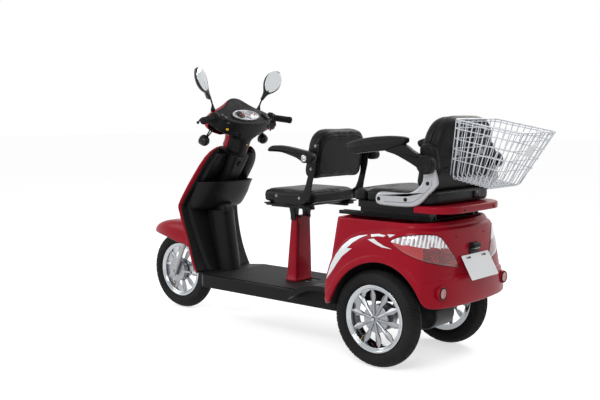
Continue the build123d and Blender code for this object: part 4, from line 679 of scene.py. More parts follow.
# The valve's stem from the rim: way inward, way out along the axle
VALVE_STEM = ((0, 0), (0.010, 0), (0.017, 0.006), (0.023, 0.016))
AXLE_NUT = [(0.028, 0.0), (0.028, 0.0085), (0.0375, 0.0080), (0.0390, 0.0065), (0.0392, 0.0)]


def rim(name, centre, facing, body, node):
    out = Vector((0, facing, 0))
    barrel_vertices, barrel_faces = lathe_mesh(RIM_BARREL, centre, out, 96)
    barrel_faces = [face for face in barrel_faces if len(face) == 4]
    barrel = piece(name + "_barrel", barrel_vertices, barrel_faces, "chrome", body, node)
    bevel(barrel, 0.0006, 30)
    spokes = []
    for spoke in range(SPOKES):
        angle = 2 * pi * (spoke + 0.25) / SPOKES
        radial = Vector((cos(angle), 0, sin(angle)))
        around = radial.cross(out)
        ring = []
        for radius, half, ridge, edge, back in SPOKE_RINGS:
            low = half * 0.8
            for across, height in ((-low, back), (-half, edge), (0, ridge), (half, edge), (low, back)):
                ring.append(centre + radial * radius + around * across + out * height)
        spokes.append((ring, capped(len(SPOKE_RINGS), 5)))
    star = piece(name + "_spokes", *join(spokes), "alloy", body, smooth=False)
    modify(star, "BEVEL", width=0.0009, segments=2)
    disc = turned(name + "_hub", RIM_HUB, centre, out, 64, "alloy", body)
    bevel(disc, 0.0008, 30)
    turned(name + "_nut", AXLE_NUT, centre, out, 6, "chrome", body, smooth=False)
    foot = centre + Vector((cos(radians(-50)), 0, sin(radians(-50)))) * 0.1195 + out * 0.004
    inward = (centre - foot).normalized()
    stem = smooth_line([foot + inward * long + out * high for long, high in VALVE_STEM], 4)
    piece(name + "_valve", *tube_mesh(stem, 0.0024, 10), "brass", body)
    cap = [stem[-3], stem[-1], stem[-1] + (stem[-1] - stem[-3]) * 0.5]
    piece(name + "_valve_cap", *tube_mesh(cap, [0.0034, 0.0036, 0.0030], 10), "cable", body)


def wheels():
    for side, name in ((1, "left"), (-1, "right")):
        centre, body = Vector((REAR_X, side * TRACK_HALF, AXLE_Z)), "rear_wheel_" + name
        tyre("rear_" + name + "_tyre", centre, body, "rear_tyre_" + name)
        rim("rear_" + name + "_rim", centre, side, body, "rear_rim_" + name)
    centre = Vector((FRONT_X, 0, AXLE_Z))
    tyre("front_wheel_tyre", centre, "front_wheel", "front_tyre")
    rim("front_wheel_rim", centre, 1, "front_wheel", "front_rim")


wheels()


# Rear body
# Stations round the left half, from the middle of the front to the middle of the back, in millimetres.
# Columns: lower edge, shoulder, way out from the body, height of the lip or bumper band, its proudness
BODY_STATIONS = (
    ((262, 0, 252), (260, 0, 300), (1, 0), 20, 0),
    ((262, 190, 252), (260, 190, 300), (1, 0), 20, 0),
    ((262, 270, 250), (260, 266, 300), (1, 0.1), 20, 0),
    ((256, 322, 246), (259, 306, 292), (0.75, 0.7), 20, 2),
    ((213, 344, 246), (250, 324, 290), (0.1, 1), 34, 5),
    ((201, 344, 280), (246, 326, 330), (0, 1), 32, 6),
    ((172, 344, 339), (236, 324, 392), (0, 1), 28, 7),
    ((119, 344, 400), (204, 323, 476), (0, 1), 26, 7),
    ((48, 344, 441), (110, 322, 548), (0, 1), 26, 7),
    ((-30, 344, 459), (-20, 322, 572), (0, 1), 26, 7),
    ((-100, 344, 452), (-104, 321, 587), (0, 1), 26, 7),
    ((-164, 344, 423), (-160, 316, 591), (-0.05, 1), 27, 7),
    ((-213, 343, 378), (-197, 298, 591), (-0.2, 1), 34, 7),
    ((-243, 341, 330), (-222, 272, 590), (-0.4, 0.9), 60, 7),
    ((-260, 334, 296), (-240, 240, 589), (-0.6, 0.8), 96, 8),
    ((-284, 292, 285), (-254, 200, 588), (-0.85, 0.5), 114, 10),
    ((-305, 230, 284), (-262, 160, 588), (-0.96, 0.25), 120, 12),
    ((-318, 150, 284), (-268, 110, 587), (-1, 0.08), 120, 12),
    ((-324, 60, 284), (-272, 50, 587), (-1, 0.02), 120, 12),
    ((-325, 0, 284), (-273, 0, 587), (-1, 0), 120, 12),
)
# Tub wall above the shoulder. Columns: foot and rim of the wall at the same stations
TUB_STATIONS = (
    ((258, 0, 330), (226, 0)), ((258, 190, 330), (226, 190)), ((256, 256, 330), (222, 250)),
    ((254, 292, 322), (214, 280)), ((248, 306, 316), (204, 292)), ((243, 310, 348), (193, 298)),
    ((231, 309, 414), (176, 300)), ((196, 307, 498), (142, 300)), ((102, 305, 566), (86, 300)),
    ((-20, 304, 584), (-20, 299)), ((-102, 303, 598), (-102, 298)), ((-156, 298, 601), (-154, 293)),
    ((-190, 280, 602), (-186, 275)), ((-212, 252, 602), (-207, 247)), ((-228, 218, 601), (-222, 214)),
    ((-240, 180, 600), (-233, 177)), ((-248, 140, 600), (-240, 138)), ((-253, 96, 599), (-245, 95)),
    ((-256, 45, 599), (-247, 45)), ((-257, 0, 599), (-248, 0)),
)
BODY_TOP = 622


def body_column(station, tub):
    """Points of one station, from the folded lower edge up to the folded rim."""
    low, high, out, band, proud = station
    foot, rim_place = tub
    out = Vector((out[0], out[1], 0)).normalized()
    low, high, foot = Vector(low), Vector(high), Vector(foot)
    base_low = low - out * proud
    up = high - base_low
    reach = up.length
    up.normalize()
    bulge = 9.0 if reach > 90 else 3.0

    def wall(t):
        swell = bulge * 4 * t * (1 - t) * (0.4 + 0.6 * t)
        return base_low + up * (reach * t) + out * swell

    t_band = min(band / reach, 0.82)
    places = [low - out * 16 + Vector((0, 0, 3)), low - out * 4 - Vector((0, 0, 1)), low + Vector((0, 0, 3))]
    places += [
        wall(t_band * 0.5) + out * proud, wall(t_band * 0.9) + out * proud,
        wall(t_band) + out * (proud * 0.85)
    ]
    places += [wall(t_band + 3.5 / reach) + out * 0.5, wall(t_band + 9 / reach)]
    for share in (0.25, 0.5, 0.75, 0.92):
        places.append(wall(t_band + (1 - t_band) * share))
    places += [
        high + (foot - high) * 0.12 + Vector((0, 0, 0.5)), high + (foot - high) * 0.5 + Vector((0, 0, 1)),
        foot, foot + Vector((0, 0, 3))
    ]
    top = Vector((rim_place[0], rim_place[1], BODY_TOP))
    places += [
        foot.lerp(top, 0.5), top - Vector((0, 0, 7)), top - Vector((0, 0, 1.5)) - out * 2.5, top - out * 8,
        top - out * 16 - Vector((0, 0, 3)), top - out * 17 - Vector((0, 0, 26))
    ]
    return places


BUMPER_STATION = 13
BUMPER_ROW = 5


def rear_body():
    left = [body_column(station, tub) for station, tub in zip(BODY_STATIONS, TUB_STATIONS)]
    right = [[Vector((p.x, -p.y, p.z)) for p in column] for column in reversed(left[1:-1])]
    columns = left + right
    count, rows = len(columns), len(left[0])
    vertices = [at(*p) for column in columns for p in column]
    shell, bumper = [], []
    for i in range(count):
        k = (i + 1) % count
        half_i = min(i, count - i)
        half_k = min(k, count - k)
        behind = min(half_i, half_k) >= BUMPER_STATION
        for j in range(rows - 1):
            face = (i * rows + j, k * rows + j, k * rows + j + 1, i * rows + j + 1)
            (bumper if behind and j < BUMPER_ROW else shell).append(face)
    body = piece("rear_body_shell", vertices, shell, "red_paint", "chassis", "rear_body")
    beam = piece("rear_bumper_skin", vertices, bumper, "red_paint", "chassis", "rear_bumper")
    for made in (body, beam):
        drop_loose(made)
        subdivided(made, 2)
    return body


body_skin = rear_body()


# Shared shapes
def round_corners(points, radius, steps=4, closed=True):
    """Points of an outline with its corners rounded; radius is one number or one for each point."""
    points = [Vector(p) for p in points]
    count = len(points)
    radii = radius if isinstance(radius, (list, tuple)) else [radius] * count
    line = []
    for i, corner in enumerate(points):
        if not closed and i in (0, count - 1) or radii[i] <= 0:
            line.append(corner)
            continue
        before, after = points[i - 1] - corner, points[(i + 1) % count] - corner
        reach = min(radii[i], before.length * 0.48, after.length * 0.48)
        start, end = corner + before.normalized() * reach, corner + after.normalized() * reach
        for step in range(steps + 1):
            t = step / steps
            line.append(start * (1 - t) ** 2 + corner * (2 * t * (1 - t)) + end * t * t)
    return line


def inset_outline(points, distance):
    """Move a closed flat outline of 2D points inward."""
    points = [Vector(p[:2]) for p in points]
    area = sum(points[i - 1].x * p.y - p.x * points[i - 1].y for i, p in enumerate(points))
    turn = 1 if area > 0 else -1
    moved = []
    for i, p in enumerate(points):
        before = (p - points[i - 1]).normalized()
        after = (points[(i + 1) % len(points)] - p).normalized()
        normal = Vector((-before.y - after.y, before.x + after.x))
        normal = normal.normalized() if normal.length > 1e-6 else Vector((-after.y, after.x))
        stretch = 1 / max(0.5, normal.dot(Vector((-after.y, after.x))))
        moved.append(p + normal * (distance * turn * stretch))
    return moved


def layered_mesh(outline, layers, place):
    """Closed solid from a flat outline at several (inset, height) layers; place puts them in space."""
    vertices, count = [], len(outline)
    for inset, height in layers:
        ring = inset_outline(outline, inset) if inset else [Vector(p[:2]) for p in outline]
        vertices += [place(p.x, p.y, height) for p in ring]
    faces = grid_faces(len(layers), count, close_columns=True)
    low = tessellate_polygon([[Vector((p[0], p[1], 0)) for p in outline]])
    faces += [tuple(reversed(t)) for t in low]
    start = (len(layers) - 1) * count
    faces += [tuple(i + start for i in t) for t in low]
    return vertices, faces


def from_side(y, side=1):
    """Places for drawings in the side view: u ahead, v up, height outward from y on the given side."""
    return lambda u, v, height: at(u, side * (y + height), v)


def layered(name, outline, layers, place, *more, **settings):
    """The piece that layered_mesh makes; what follows place goes to piece."""
    return piece(name, *layered_mesh(outline, layers, place), *more, **settings)


def screw_mesh(centre, axis, radius, high, recess=True):
    """A dome head with a socket in it."""
    profile = [
        (-high, radius), (0, radius), (high * 0.55, radius * 0.93), (high * 0.9, radius * 0.7),
        (high, radius * 0.45)
    ]
    if recess:
        profile += [(high * 0.99, radius * 0.4), (high * 0.35, radius * 0.38), (high * 0.35, 0)]
    else:
        profile.append((high * 1.05, 0))
    return lathe_mesh(profile, centre, axis, 20)


def on_plane(origin, right, up, out):
    """Places in a plane of one's own, from millimetres along its three directions."""
    return lambda u, v, height: origin + right * (u * MM) + up * (v * MM) + out * (height * MM)


def screws(name, spots, axis, radius, high, look, body, recess=True):
    return piece(
        name, *join(screw_mesh(Vector(spot), axis, radius, high, recess) for spot in spots), look, body
    )


def hex_bolt(centre, axis, radius, high):
    return join([
        lathe_mesh([(0, radius * 1.35), (0.0012, radius * 1.35), (0.0012, radius)], centre, axis, 24),
        lathe_mesh(
            [(0.0012, radius), (high * 0.8, radius), (high, radius * 0.85), (high, 0)], centre, axis, 6
        ),
    ])


def box_mesh(centre, size, cuts=(1, 1, 1)):
    """A box as a closed grid with the given number of cells along each side."""
    vertices = {}
    nx, ny, nz = cuts
    points, faces = [], []

    def corner(i, j, k):
        key = (i, j, k)
        if key not in vertices:
            vertices[key] = len(points)
            shares = (i / nx - 0.5, j / ny - 0.5, k / nz - 0.5)
            points.append(Vector(centre) + Vector([share * long for share, long in zip(shares, size)]))
        return vertices[key]

    for i in range(nx):
        for j in range(ny):
            for k in (0, nz):
                faces.append(
                    (corner(i, j, k), corner(i + 1, j, k), corner(i + 1, j + 1, k), corner(i, j + 1, k))
                )
    for i in range(nx):
        for k in range(nz):
            for j in (0, ny):
                faces.append(
                    (corner(i, j, k), corner(i + 1, j, k), corner(i + 1, j, k + 1), corner(i, j, k + 1))
                )
    for j in range(ny):
        for k in range(nz):
            for i in (0, nx):
                faces.append(
                    (corner(i, j, k), corner(i, j + 1, k), corner(i, j + 1, k + 1), corner(i, j, k + 1))
                )
    return points, faces


# Lamps, plate and stripes of the rear body
def tree_of(made):
    return BVHTree.FromObject(made, bpy.context.evaluated_depsgraph_get())


BODY_TREE = tree_of(body_skin)
LAMP_CENTRE = (-80, 100)
# Azimuth in degrees about the lamp's centre, then heights of its lower and upper edge
LAMP_EDGES = (
    (94.5, 546, 549), (100, 530, 562), (109, 508, 573), (120, 489, 579), (131, 472, 580), (143, 460, 575),
    (150, 453, 563), (158, 448, 528), (167, 441, 487), (175, 435, 447)
)
LAMP_SPLIT = ((94.5, 546), (109, 538), (131, 528), (150, 523), (162, 520))
HONEYCOMB_FROM = 128.0
LAMP_CELLS_ROUND, LAMP_CELLS_UP = 56, 14
LAMP_LOW, LAMP_PROUD = 0.0003, 0.0022


def between(table, place, column=1):
    for a, b in zip(table, table[1:]):
        if place <= b[0]:
            t = (place - a[0]) / (b[0] - a[0])
            return a[column] + (b[column] - a[column]) * max(0.0, t)
    return table[-1][column]


def on_skin(tree, start, toward, proud):
    """The place where a ray from start meets a skin, lifted by proud metres."""
    hit, normal, _, _ = tree.ray_cast(start, toward)
    if hit is None:
        return start + toward * 0.3
    if normal.dot(toward) < 0:
        normal = -normal
    return hit + normal * proud


def tail_lamp(side, name):
    """The lens on the skin of the body: clear above, red below, with a comb towards the rear."""
    across, up = LAMP_CELLS_ROUND, LAMP_CELLS_UP
    vertices, faces, slots = [], [], []
    for i in range(across + 1):
        azimuth = LAMP_EDGES[0][0] + (LAMP_EDGES[-1][0] - LAMP_EDGES[0][0]) * i / across
        low, high = between(LAMP_EDGES, azimuth, 1), between(LAMP_EDGES, azimuth, 2)
        for j in range(up + 1):
            height = low + (high - low) * j / up
            rim = min(i, across - i, j * 1.5, (up - j) * 1.5) / 2
            proud = LAMP_LOW + LAMP_PROUD * min(1.0, rim) ** 0.5
            toward = Vector((cos(radians(azimuth)), sin(radians(azimuth)), 0))
            place = on_skin(BODY_TREE, at(LAMP_CENTRE[0], LAMP_CENTRE[1], height), toward, proud)
            vertices.append(Vector((place.x, place.y * side, place.z)))
    for i in range(across):
        azimuth = LAMP_EDGES[0][0] + (LAMP_EDGES[-1][0] - LAMP_EDGES[0][0]) * (i + 0.5) / across
        low, high = between(LAMP_EDGES, azimuth, 1), between(LAMP_EDGES, azimuth, 2)
        for j in range(up):
            a = i * (up + 1) + j
            faces.append((a, a + up + 1, a + up + 2, a + 1))
            height = low + (high - low) * (j + 0.5) / up
            upper = height > between(LAMP_SPLIT, azimuth)
            slots.append(0 if upper else (2 if azimuth > HONEYCOMB_FROM else 1))
    lens = piece(name, vertices, faces, ("lamp_clear", "lamp_red", "lamp_comb"), "chassis")
    for polygon, slot in zip(lens.data.polygons, slots):
        polygon.material_index = slot
    edge = [vertices[i * (up + 1)] for i in range(across + 1)]
    edge += [vertices[i * (up + 1) + up] for i in range(across, -1, -1)]
    piece(name + "_seal", *tube_mesh(edge, 0.0013, 6, closed=True), "cable", "chassis")
    return lens


def lamp_materials():
    clear = Look("lamp_clear", (0.62, 0.60, 0.62), 0.12, metallic=0.55, coat=1.0)
    # The clear lens's colour is painted reflection: dark and pale noise patches, with bright painted
    # highlight bands along the flutes; the flutes also give the bump.
    flutes_and_painted_highlights = clear.node("TexWave", Vector=clear.place((1, 1, 0.35)), Scale=26.0, Distortion=1.6, Detail=1.0)
    flutes_and_painted_highlights.bands_direction = "DIAGONAL"
    painted_reflection_patches = clear.noise(34, 3)
    shade = clear.blend(clear.span(painted_reflection_patches, 0, 1, 0.4, 0.65), (0.30, 0.24, 0.26), (0.72, 0.72, 0.75))
    clear.wire(
        "Base Color", clear.blend(clear.span(flutes_and_painted_highlights.outputs["Fac"], 0, 1, 0.45, 0.8), shade, (0.9, 0.9, 0.92))
    )
    clear.bump(flutes_and_painted_highlights.outputs["Fac"], 0.0015, 0.5)
    red = Look("lamp_red", (0.42, 0.003, 0.008), 0.08, coat=1.0)
    red.wire("Base Color", red.blend(red.noise(22, 2), (0.30, 0.002, 0.006), (0.52, 0.005, 0.010)))
    red.bump(red.noise(30, 2), 0.0004)
    comb = Look("lamp_comb", (0.45, 0.004, 0.008), 0.10, coat=1.0)
    cells = comb.cells(150)
    broad = comb.noise(26, 2)
    glint = comb.blend(comb.span(broad, 0, 1, 0.45, 0.68), (0.34, 0.003, 0.007), (0.80, 0.03, 0.02))
    comb.wire("Base Color", comb.blend(comb.span(cells, 0, 1, 0.25, 0.5), glint, (0.10, 0.001, 0.003)))
    comb.bump(cells, 0.0012, 0.7)
    LOOKS.update(lamp_clear=clear.material, lamp_red=red.material, lamp_comb=comb.material)


lamp_materials()


def tail_lamps():
    lenses = sides(lambda side, name: tail_lamp(side, "tail_lamp_" + name))
    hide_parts("tail_lamps")


tail_lamps()

REFLECTOR = (-300, 254, 348)
REFLECTOR_R = 25


def round_reflectors():
    """Round red reflectors on short tubes of the bumper."""
    axis = Vector((-1, 0, 0))
    parts = {"tube": [], "ring": [], "lens": []}
    for side in (1, -1):
        centre = at(REFLECTOR[0], REFLECTOR[1] * side, REFLECTOR[2])
        r = REFLECTOR_R * MM
        parts["tube"].append(
            lathe_mesh(
                [(-0.020, r + 0.003), (0.0, r + 0.003), (0.0015, r + 0.0015), (0.0015, r - 0.004)], centre,
                axis, 48
            )
        )
        parts["ring"].append(
            lathe_mesh(
                [
                    (0.0, r + 0.001), (0.0042, r + 0.0008), (0.0055, r - 0.0006), (0.0055, r - 0.0035),
                    (0.003, r - 0.004)
                ],
                centre, axis, 48
            )
        )
        lens = [(0.003, r - 0.0036)]
        for k in range(1, 9):
            ring = (r - 0.0036) * (1 - k / 9)
            lens += [(0.0045 + 0.0004 * k, ring + 0.0006), (0.0041 + 0.0004 * k, ring)]
        parts["lens"].append(lathe_mesh(lens + [(0.0085, 0)], centre, axis, 48))
    for name, look in (("tube", "red_paint"), ("ring", "black_plastic"), ("lens", "lamp_red")):
        made = piece("bumper_reflector_" + name, *join(parts[name]), look, "chassis")
        if name == "lens":
            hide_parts("bumper_lamps")


round_reflectors()

PLATE_TOP = (-296, 482)
PLATE_LOW = (-350, 387)
PLATE_HALF = 111
PLATE_SLOTS, PLATE_SCREWS = (62, -62), (70, -54)
SLOT_HALF, SLOT_LOW, SLOT_HIGH = 17, 17, 9


def plate_place(u, v, height):
    """Places on the plate: u to the left, v up from its lower edge, height outward from its back."""
    low, high = Vector((PLATE_LOW[0], PLATE_LOW[1])), Vector((PLATE_TOP[0], PLATE_TOP[1]))
    up = (high - low).normalized()
    out = Vector((-up.y, up.x))
    spot = low + up * v + out * height
    return at(spot.x, u, spot.y)


def plate():
    height = hypot(PLATE_TOP[0] - PLATE_LOW[0], PLATE_TOP[1] - PLATE_LOW[1])
    outline = round_corners(
        [(-PLATE_HALF, 0), (PLATE_HALF, 0), (PLATE_HALF, height), (-PLATE_HALF, height)], 7
    )
    layers = [(0.8, 0), (0, 0.6), (0, 1.8), (0.5, 2.2), (2.2, 2.2), (2.8, 1.7), (3.4, 1.7)]
    sheet = layered("number_plate_blank", outline, layers, plate_place, "plate", "chassis", "number_plate")
    bevel(sheet, 0.0003, 40, 1)
    slots = []
    for u in PLATE_SLOTS:
        low, high = height - SLOT_LOW, height - SLOT_HIGH
        ring = round_corners(
            [(u - SLOT_HALF, low), (u + SLOT_HALF, low), (u + SLOT_HALF, high), (u - SLOT_HALF, high)], 3.9
        )
        slots.append(layered_mesh(ring, [(0, 1.2), (0, 2.0), (0.8, 2.1)], plate_place))
    piece("number_plate_slots", *join(slots), "cable", "chassis", smooth=False)
    out = (plate_place(0, 0, 1) - plate_place(0, 0, 0)).normalized()
    screws(
        "number_plate_screws", [plate_place(u, height - 13, 2.4) for u in PLATE_SCREWS], out, 0.0048, 0.0022,
        "dull_metal", "chassis"
    )


plate()


def plate_lamp():
    """Black carrier behind the plate and the lamp that shines on it."""
    carrier = round_corners([(-268, 470), (-297, 470), (-297, 490), (-290, 512), (-262, 520), (-250, 510)], 3)
    made = layered(
        "plate_carrier", carrier, [(1.5, -38), (0, -36.5), (0, 36.5), (1.5, 38)], from_side(0),
        "black_plastic", "chassis", "plate_holder"
    )
    bevel(made, 0.001, 35)
    hood = round_corners([(-284, 505), (-311, 507), (-314, 515), (-308, 527), (-276, 530), (-272, 512)], 4)
    made = layered(
        "plate_lamp_hood", hood, [(3, -27), (0.6, -25), (0, -22), (0, 22), (0.6, 25), (3, 27)], from_side(0),
        "black_plastic", "chassis"
    )
    bevel(made, 0.0012, 35)
    window = round_corners([(-286, 505), (-309, 507), (-310, 503.5), (-288, 502)], 1)
    layered(
        "plate_lamp_window", window, [(1, -19), (0, -18), (0, 18), (1, 19)], from_side(0), "clear_dull",
        "chassis"
    )


LOOKS["clear_dull"] = plain("lamp_window", (0.55, 0.56, 0.58), 0.2, coat=0.6)
plate_lamp()


SCREW_R, SCREW_HIGH, SCREW_PROUD = 0.0042, 0.0016, 0.0002


def panel_screws():
    """Small dark screws that hold the tail panels."""
    behind = Vector((-1, 0, 0))
    spots = [on_skin(BODY_TREE, at(-80, y, 561), behind, SCREW_PROUD) for y in (112, -112)]
    screws("tail_screws", spots, behind, SCREW_R, SCREW_HIGH, "cable", "chassis")
    corner = []
    for side in (1, -1):
        toward = Vector((-0.72, 0.69 * side, 0)).normalized()
        spot = on_skin(BODY_TREE, at(-150, 140 * side, 612), toward, SCREW_PROUD)
        corner.append(screw_mesh(spot, toward, SCREW_R, SCREW_HIGH))
    piece("rim_screws", *join(corner), "cable", "chassis")


panel_screws()

# Stripes on the fenders, drawn in the side view: a long tapered blade, a shorter one and two slips
BLADES = (
    (
        (236, 352), (214, 415), (186, 463), (152, 506), (112, 538), (66, 556), (20, 563), (60, 546),
        (96, 524), (124, 498), (96, 500), (146, 462), (176, 425), (204, 388)
    ),
    ((214, 398), (188, 446), (160, 480), (170, 450), (190, 420)),
    ((8, 566), (-34, 572), (-72, 569), (-60, 562), (-30, 562), (0, 556)),
    ((18, 545), (-20, 531), (-58, 520), (-108, 517), (-70, 526), (-34, 540), (-14, 551)),
    ((-76, 574), (-116, 576), (-92, 562)),
)
STRIPE_PROUD, STRIPE_CELL = 0.0007, 9


def stripes(side, name):
    vertices, faces = [], []
    for outline in BLADES:
        ring = [Vector((p[0], p[1], 0)) for p in outline]
        fine = []
        for i, p in enumerate(ring):
            q = ring[(i + 1) % len(ring)]
            for k in range(4):
                fine.append(p.lerp(q, k / 4))
        sheet = bmesh.new()
        for p in fine:
            sheet.verts.new(p)
        sheet.verts.ensure_lookup_table()
        for t in tessellate_polygon([fine]):
            sheet.faces.new([sheet.verts[i] for i in t])
        for _ in range(3):
            long_edges = [e for e in sheet.edges if e.calc_length() > STRIPE_CELL]
            bmesh.ops.subdivide_edges(sheet, edges=long_edges, cuts=1)
            bmesh.ops.triangulate(sheet, faces=sheet.faces)
        start = len(vertices)
        sheet.verts.index_update()
        for v in sheet.verts:
            place = on_skin(BODY_TREE, at(v.co.x, 200, v.co.y), Vector((0, 1, 0)), STRIPE_PROUD)
            vertices.append(Vector((place.x, place.y * side, place.z)))
        faces += [tuple(start + v.index for v in f.verts) for f in sheet.faces]
        sheet.free()
    return piece("fender_stripes_" + name, vertices, faces, "decal", "chassis")


sides(stripes)


# Padded pieces
PADS = []
PAD_STEPS = 20
CLOTH = {
    "quality": 4, "mass": 0.35, "tension_stiffness": 12, "compression_stiffness": 10, "shear_stiffness": 6,
    "bending_stiffness": 0.8, "use_pressure": True,
}


def pad(
    name, outline, layers, place, look, body, node, swell=0.006, voxel=0.0065, pressure=4.0, rest_low=None
):
    """A cushion, drawn a little smaller than it ends up; all of them are blown up in one simulation."""
    vertices, faces = layered_mesh(outline, layers, place)
    made = piece(name, vertices, faces, look, body, node)
    modify(made, "REMESH", mode="VOXEL", voxel_size=voxel, use_smooth_shade=True)
    applied(made)
    modify(made, "SMOOTH", factor=0.6, iterations=6)
    applied(made)
    PADS.append((made, swell, pressure, rest_low))
    return made


def blow_up_pads():
    """Cloth with inner pressure and no gravity, held near its start; each pad given a lowest height keeps its
    flat underside.
    """
    starts = {}
    for made, _, pressure, _ in PADS:
        starts[made.name] = [v.co.copy() for v in made.data.vertices]
        cloth = made.modifiers.new("cloth", "CLOTH")
        for setting, value in CLOTH.items():
            setattr(cloth.settings, setting, value)
        cloth.settings.uniform_pressure_force = pressure
        cloth.settings.effector_weights.gravity = 0
        cloth.point_cache.frame_start = 1
        cloth.point_cache.frame_end = PAD_STEPS
    for step in range(1, PAD_STEPS + 1):
        bpy.context.scene.frame_set(step)
    for made, cap, _, rest_low in PADS:
        applied(made)
        mesh = made.data
        for vertex, start in zip(mesh.vertices, starts[made.name]):
            move = vertex.co - start
            if move.length > cap:
                move = move * (cap / move.length)
            vertex.co = start + move
            if rest_low is not None and vertex.co.z < rest_low:
                vertex.co.z = rest_low
        subdivided(made)
        smooth_faces(made)
    bpy.context.scene.frame_set(1)


def groove(made, away, width, depth):
    """Sewn channel: vertices nearer to it than width sink along their normals; away gives the distance."""
    mesh = made.data
    for vertex, normal in [(v, v.normal.copy()) for v in mesh.vertices]:
        gap = away(vertex.co)
        if gap is not None and abs(gap) < width:
            vertex.co -= normal * (depth * (1 - (gap / width) ** 2) ** 2)


def rounded_rectangle(half_u, v_low, v_high, radius, steps=8):
    corners = [(-half_u, v_low), (half_u, v_low), (half_u, v_high), (-half_u, v_high)]
    radii = radius if isinstance(radius, (list, tuple)) else [radius] * 4
    return round_corners([Vector((u, v)) for u, v in corners], list(radii), steps)


# Front seat
FRONT_BACK_FOOT = (434, 755)
FRONT_BACK_LEAN = radians(10)


def front_back_place(u, v, height):
    """Places on the front backrest: u left, v up its rear face, height forward from it, in millimetres."""
    x = FRONT_BACK_FOOT[0] - v * sin(FRONT_BACK_LEAN) + height * cos(FRONT_BACK_LEAN)
    return at(x, u, FRONT_BACK_FOOT[1] + v * cos(FRONT_BACK_LEAN) + height * sin(FRONT_BACK_LEAN))


# Cushion in plan and back in its own plane; layers are (inset, height)
FRONT_CUSHION_REAR, FRONT_CUSHION_AHEAD, FRONT_CUSHION_HALF = 452, 750, 190
FRONT_CUSHION_LAYERS = ((10, 648), (2, 650), (0, 656), (0, 684), (4, 694), (12, 699), (34, 702), (80, 704))
FRONT_CUSHION_LOW = 0.6463
FRONT_BACK_HALF, FRONT_BACK_LOW, FRONT_BACK_TOP = 187, 3, 235
FRONT_BACK_LAYERS = ((24, 5), (8, 6), (2, 10), (0, 18), (0, 50), (5, 58), (16, 62), (44, 65))
# Seams of the front cushion: rear, ahead and half width on top, height and reach round its side
TOP_SEAM = (474, 730, 168)
BAND_SEAM_Z, BAND_SEAM_REACH = 0.664, 0.009


def on_plan(u, v, height):
    """Places in plan: u ahead, v left, height is the real height."""
    return at(u, v, height)


def plan_rectangle(rear, ahead, half, radius, steps=8):
    return round_corners([(rear, -half), (ahead, -half), (ahead, half), (rear, half)], radius, steps)


def front_cushion():
    outline = plan_rectangle(FRONT_CUSHION_REAR, FRONT_CUSHION_AHEAD, FRONT_CUSHION_HALF, (52, 44, 44, 52))
    return pad(
        "front_cushion", outline, FRONT_CUSHION_LAYERS, on_plan, "leather", "chassis", "front_seat_cushion",
        0.006, rest_low=FRONT_CUSHION_LOW
    )


def front_backrest():
    outline = rounded_rectangle(FRONT_BACK_HALF, FRONT_BACK_LOW, FRONT_BACK_TOP, (46, 46, 100, 100), 10)
    return pad(
        "front_backrest", outline, FRONT_BACK_LAYERS, front_back_place, "leather", "chassis",
        "front_seat_back", 0.005
    )


front_pad = front_cushion()
front_back_pad = front_backrest()


# Rear seat
REAR_BACK_FOOT = (-176, 752)
REAR_BACK_LEAN = radians(9)
REAR_BACK_LONG = 308


def rear_back_place(u, v, height):
    """Places on the rear backrest: u left, v up, height forward of the plane between cushion and shell."""
    x = REAR_BACK_FOOT[0] - v * sin(REAR_BACK_LEAN) + height * cos(REAR_BACK_LEAN)
    return at(x, u, REAR_BACK_FOOT[1] + v * cos(REAR_BACK_LEAN) + height * sin(REAR_BACK_LEAN))


def rear_cushion():
    roll = round_corners([(112, -226), (178, -226), (178, 226), (112, 226)], 26, 6)
    layers = [(12, 691), (3, 694), (0, 701), (0, 728), (6, 737), (16, 741), (26, 743)]
    front = pad(
        "rear_cushion_roll", roll, layers, on_plan, "leather", "rear_seat", None, 0.005, rest_low=0.6905
    )
    main = round_corners([(-184, -227), (108, -227), (108, 227), (-184, 227)], [46, 14, 14, 46], 7)
    layers = [(12, 691), (3, 694), (0, 701), (0, 730), (5, 738), (15, 741), (50, 743), (100, 744)]
    back = pad(
        "rear_cushion_main", main, layers, on_plan, "leather", "rear_seat", "rear_seat_cushion", 0.005,
        rest_low=0.6905
    )
    return front, back


def back_shape(shrink=0):
    half = 225 - shrink
    return rounded_rectangle(half, shrink, REAR_BACK_LONG - shrink, (30, 30, 150, 150), 12)


def rear_backrest():
    outline = back_shape(4)
    layers = [(3, 1), (0, 5), (0, 28), (6, 38), (18, 42), (60, 43)]
    return pad(
        "rear_backrest", outline, layers, rear_back_place, "leather", "rear_seat", "rear_seat_back", 0.004
    )


rear_cushion()
rear_backrest()
blow_up_pads()


def seat_seams():
    """Sewn channels round the top and the side band of the front cushion."""
    edge = plan_rectangle(*TOP_SEAM, 34)
    tree = tree_of(front_pad)
    ring = []
    for i, p in enumerate(edge):
        q = edge[(i + 1) % len(edge)]
        for k in range(6):
            spot = p.lerp(q, k / 6)
            ring.append(on_skin(tree, at(spot.x, spot.y, 660), Vector((0, 0, 1)), 0.0))

    def near_ring(place):
        if place.z < 0.68:
            return None
        return min((place - p).length for p in ring[::2])

    groove(front_pad, near_ring, 0.006, 0.0022)

    def near_band(place):
        return place.z - BAND_SEAM_Z if abs(place.z - BAND_SEAM_Z) < BAND_SEAM_REACH else None

    groove(front_pad, near_band, 0.005, 0.0018)


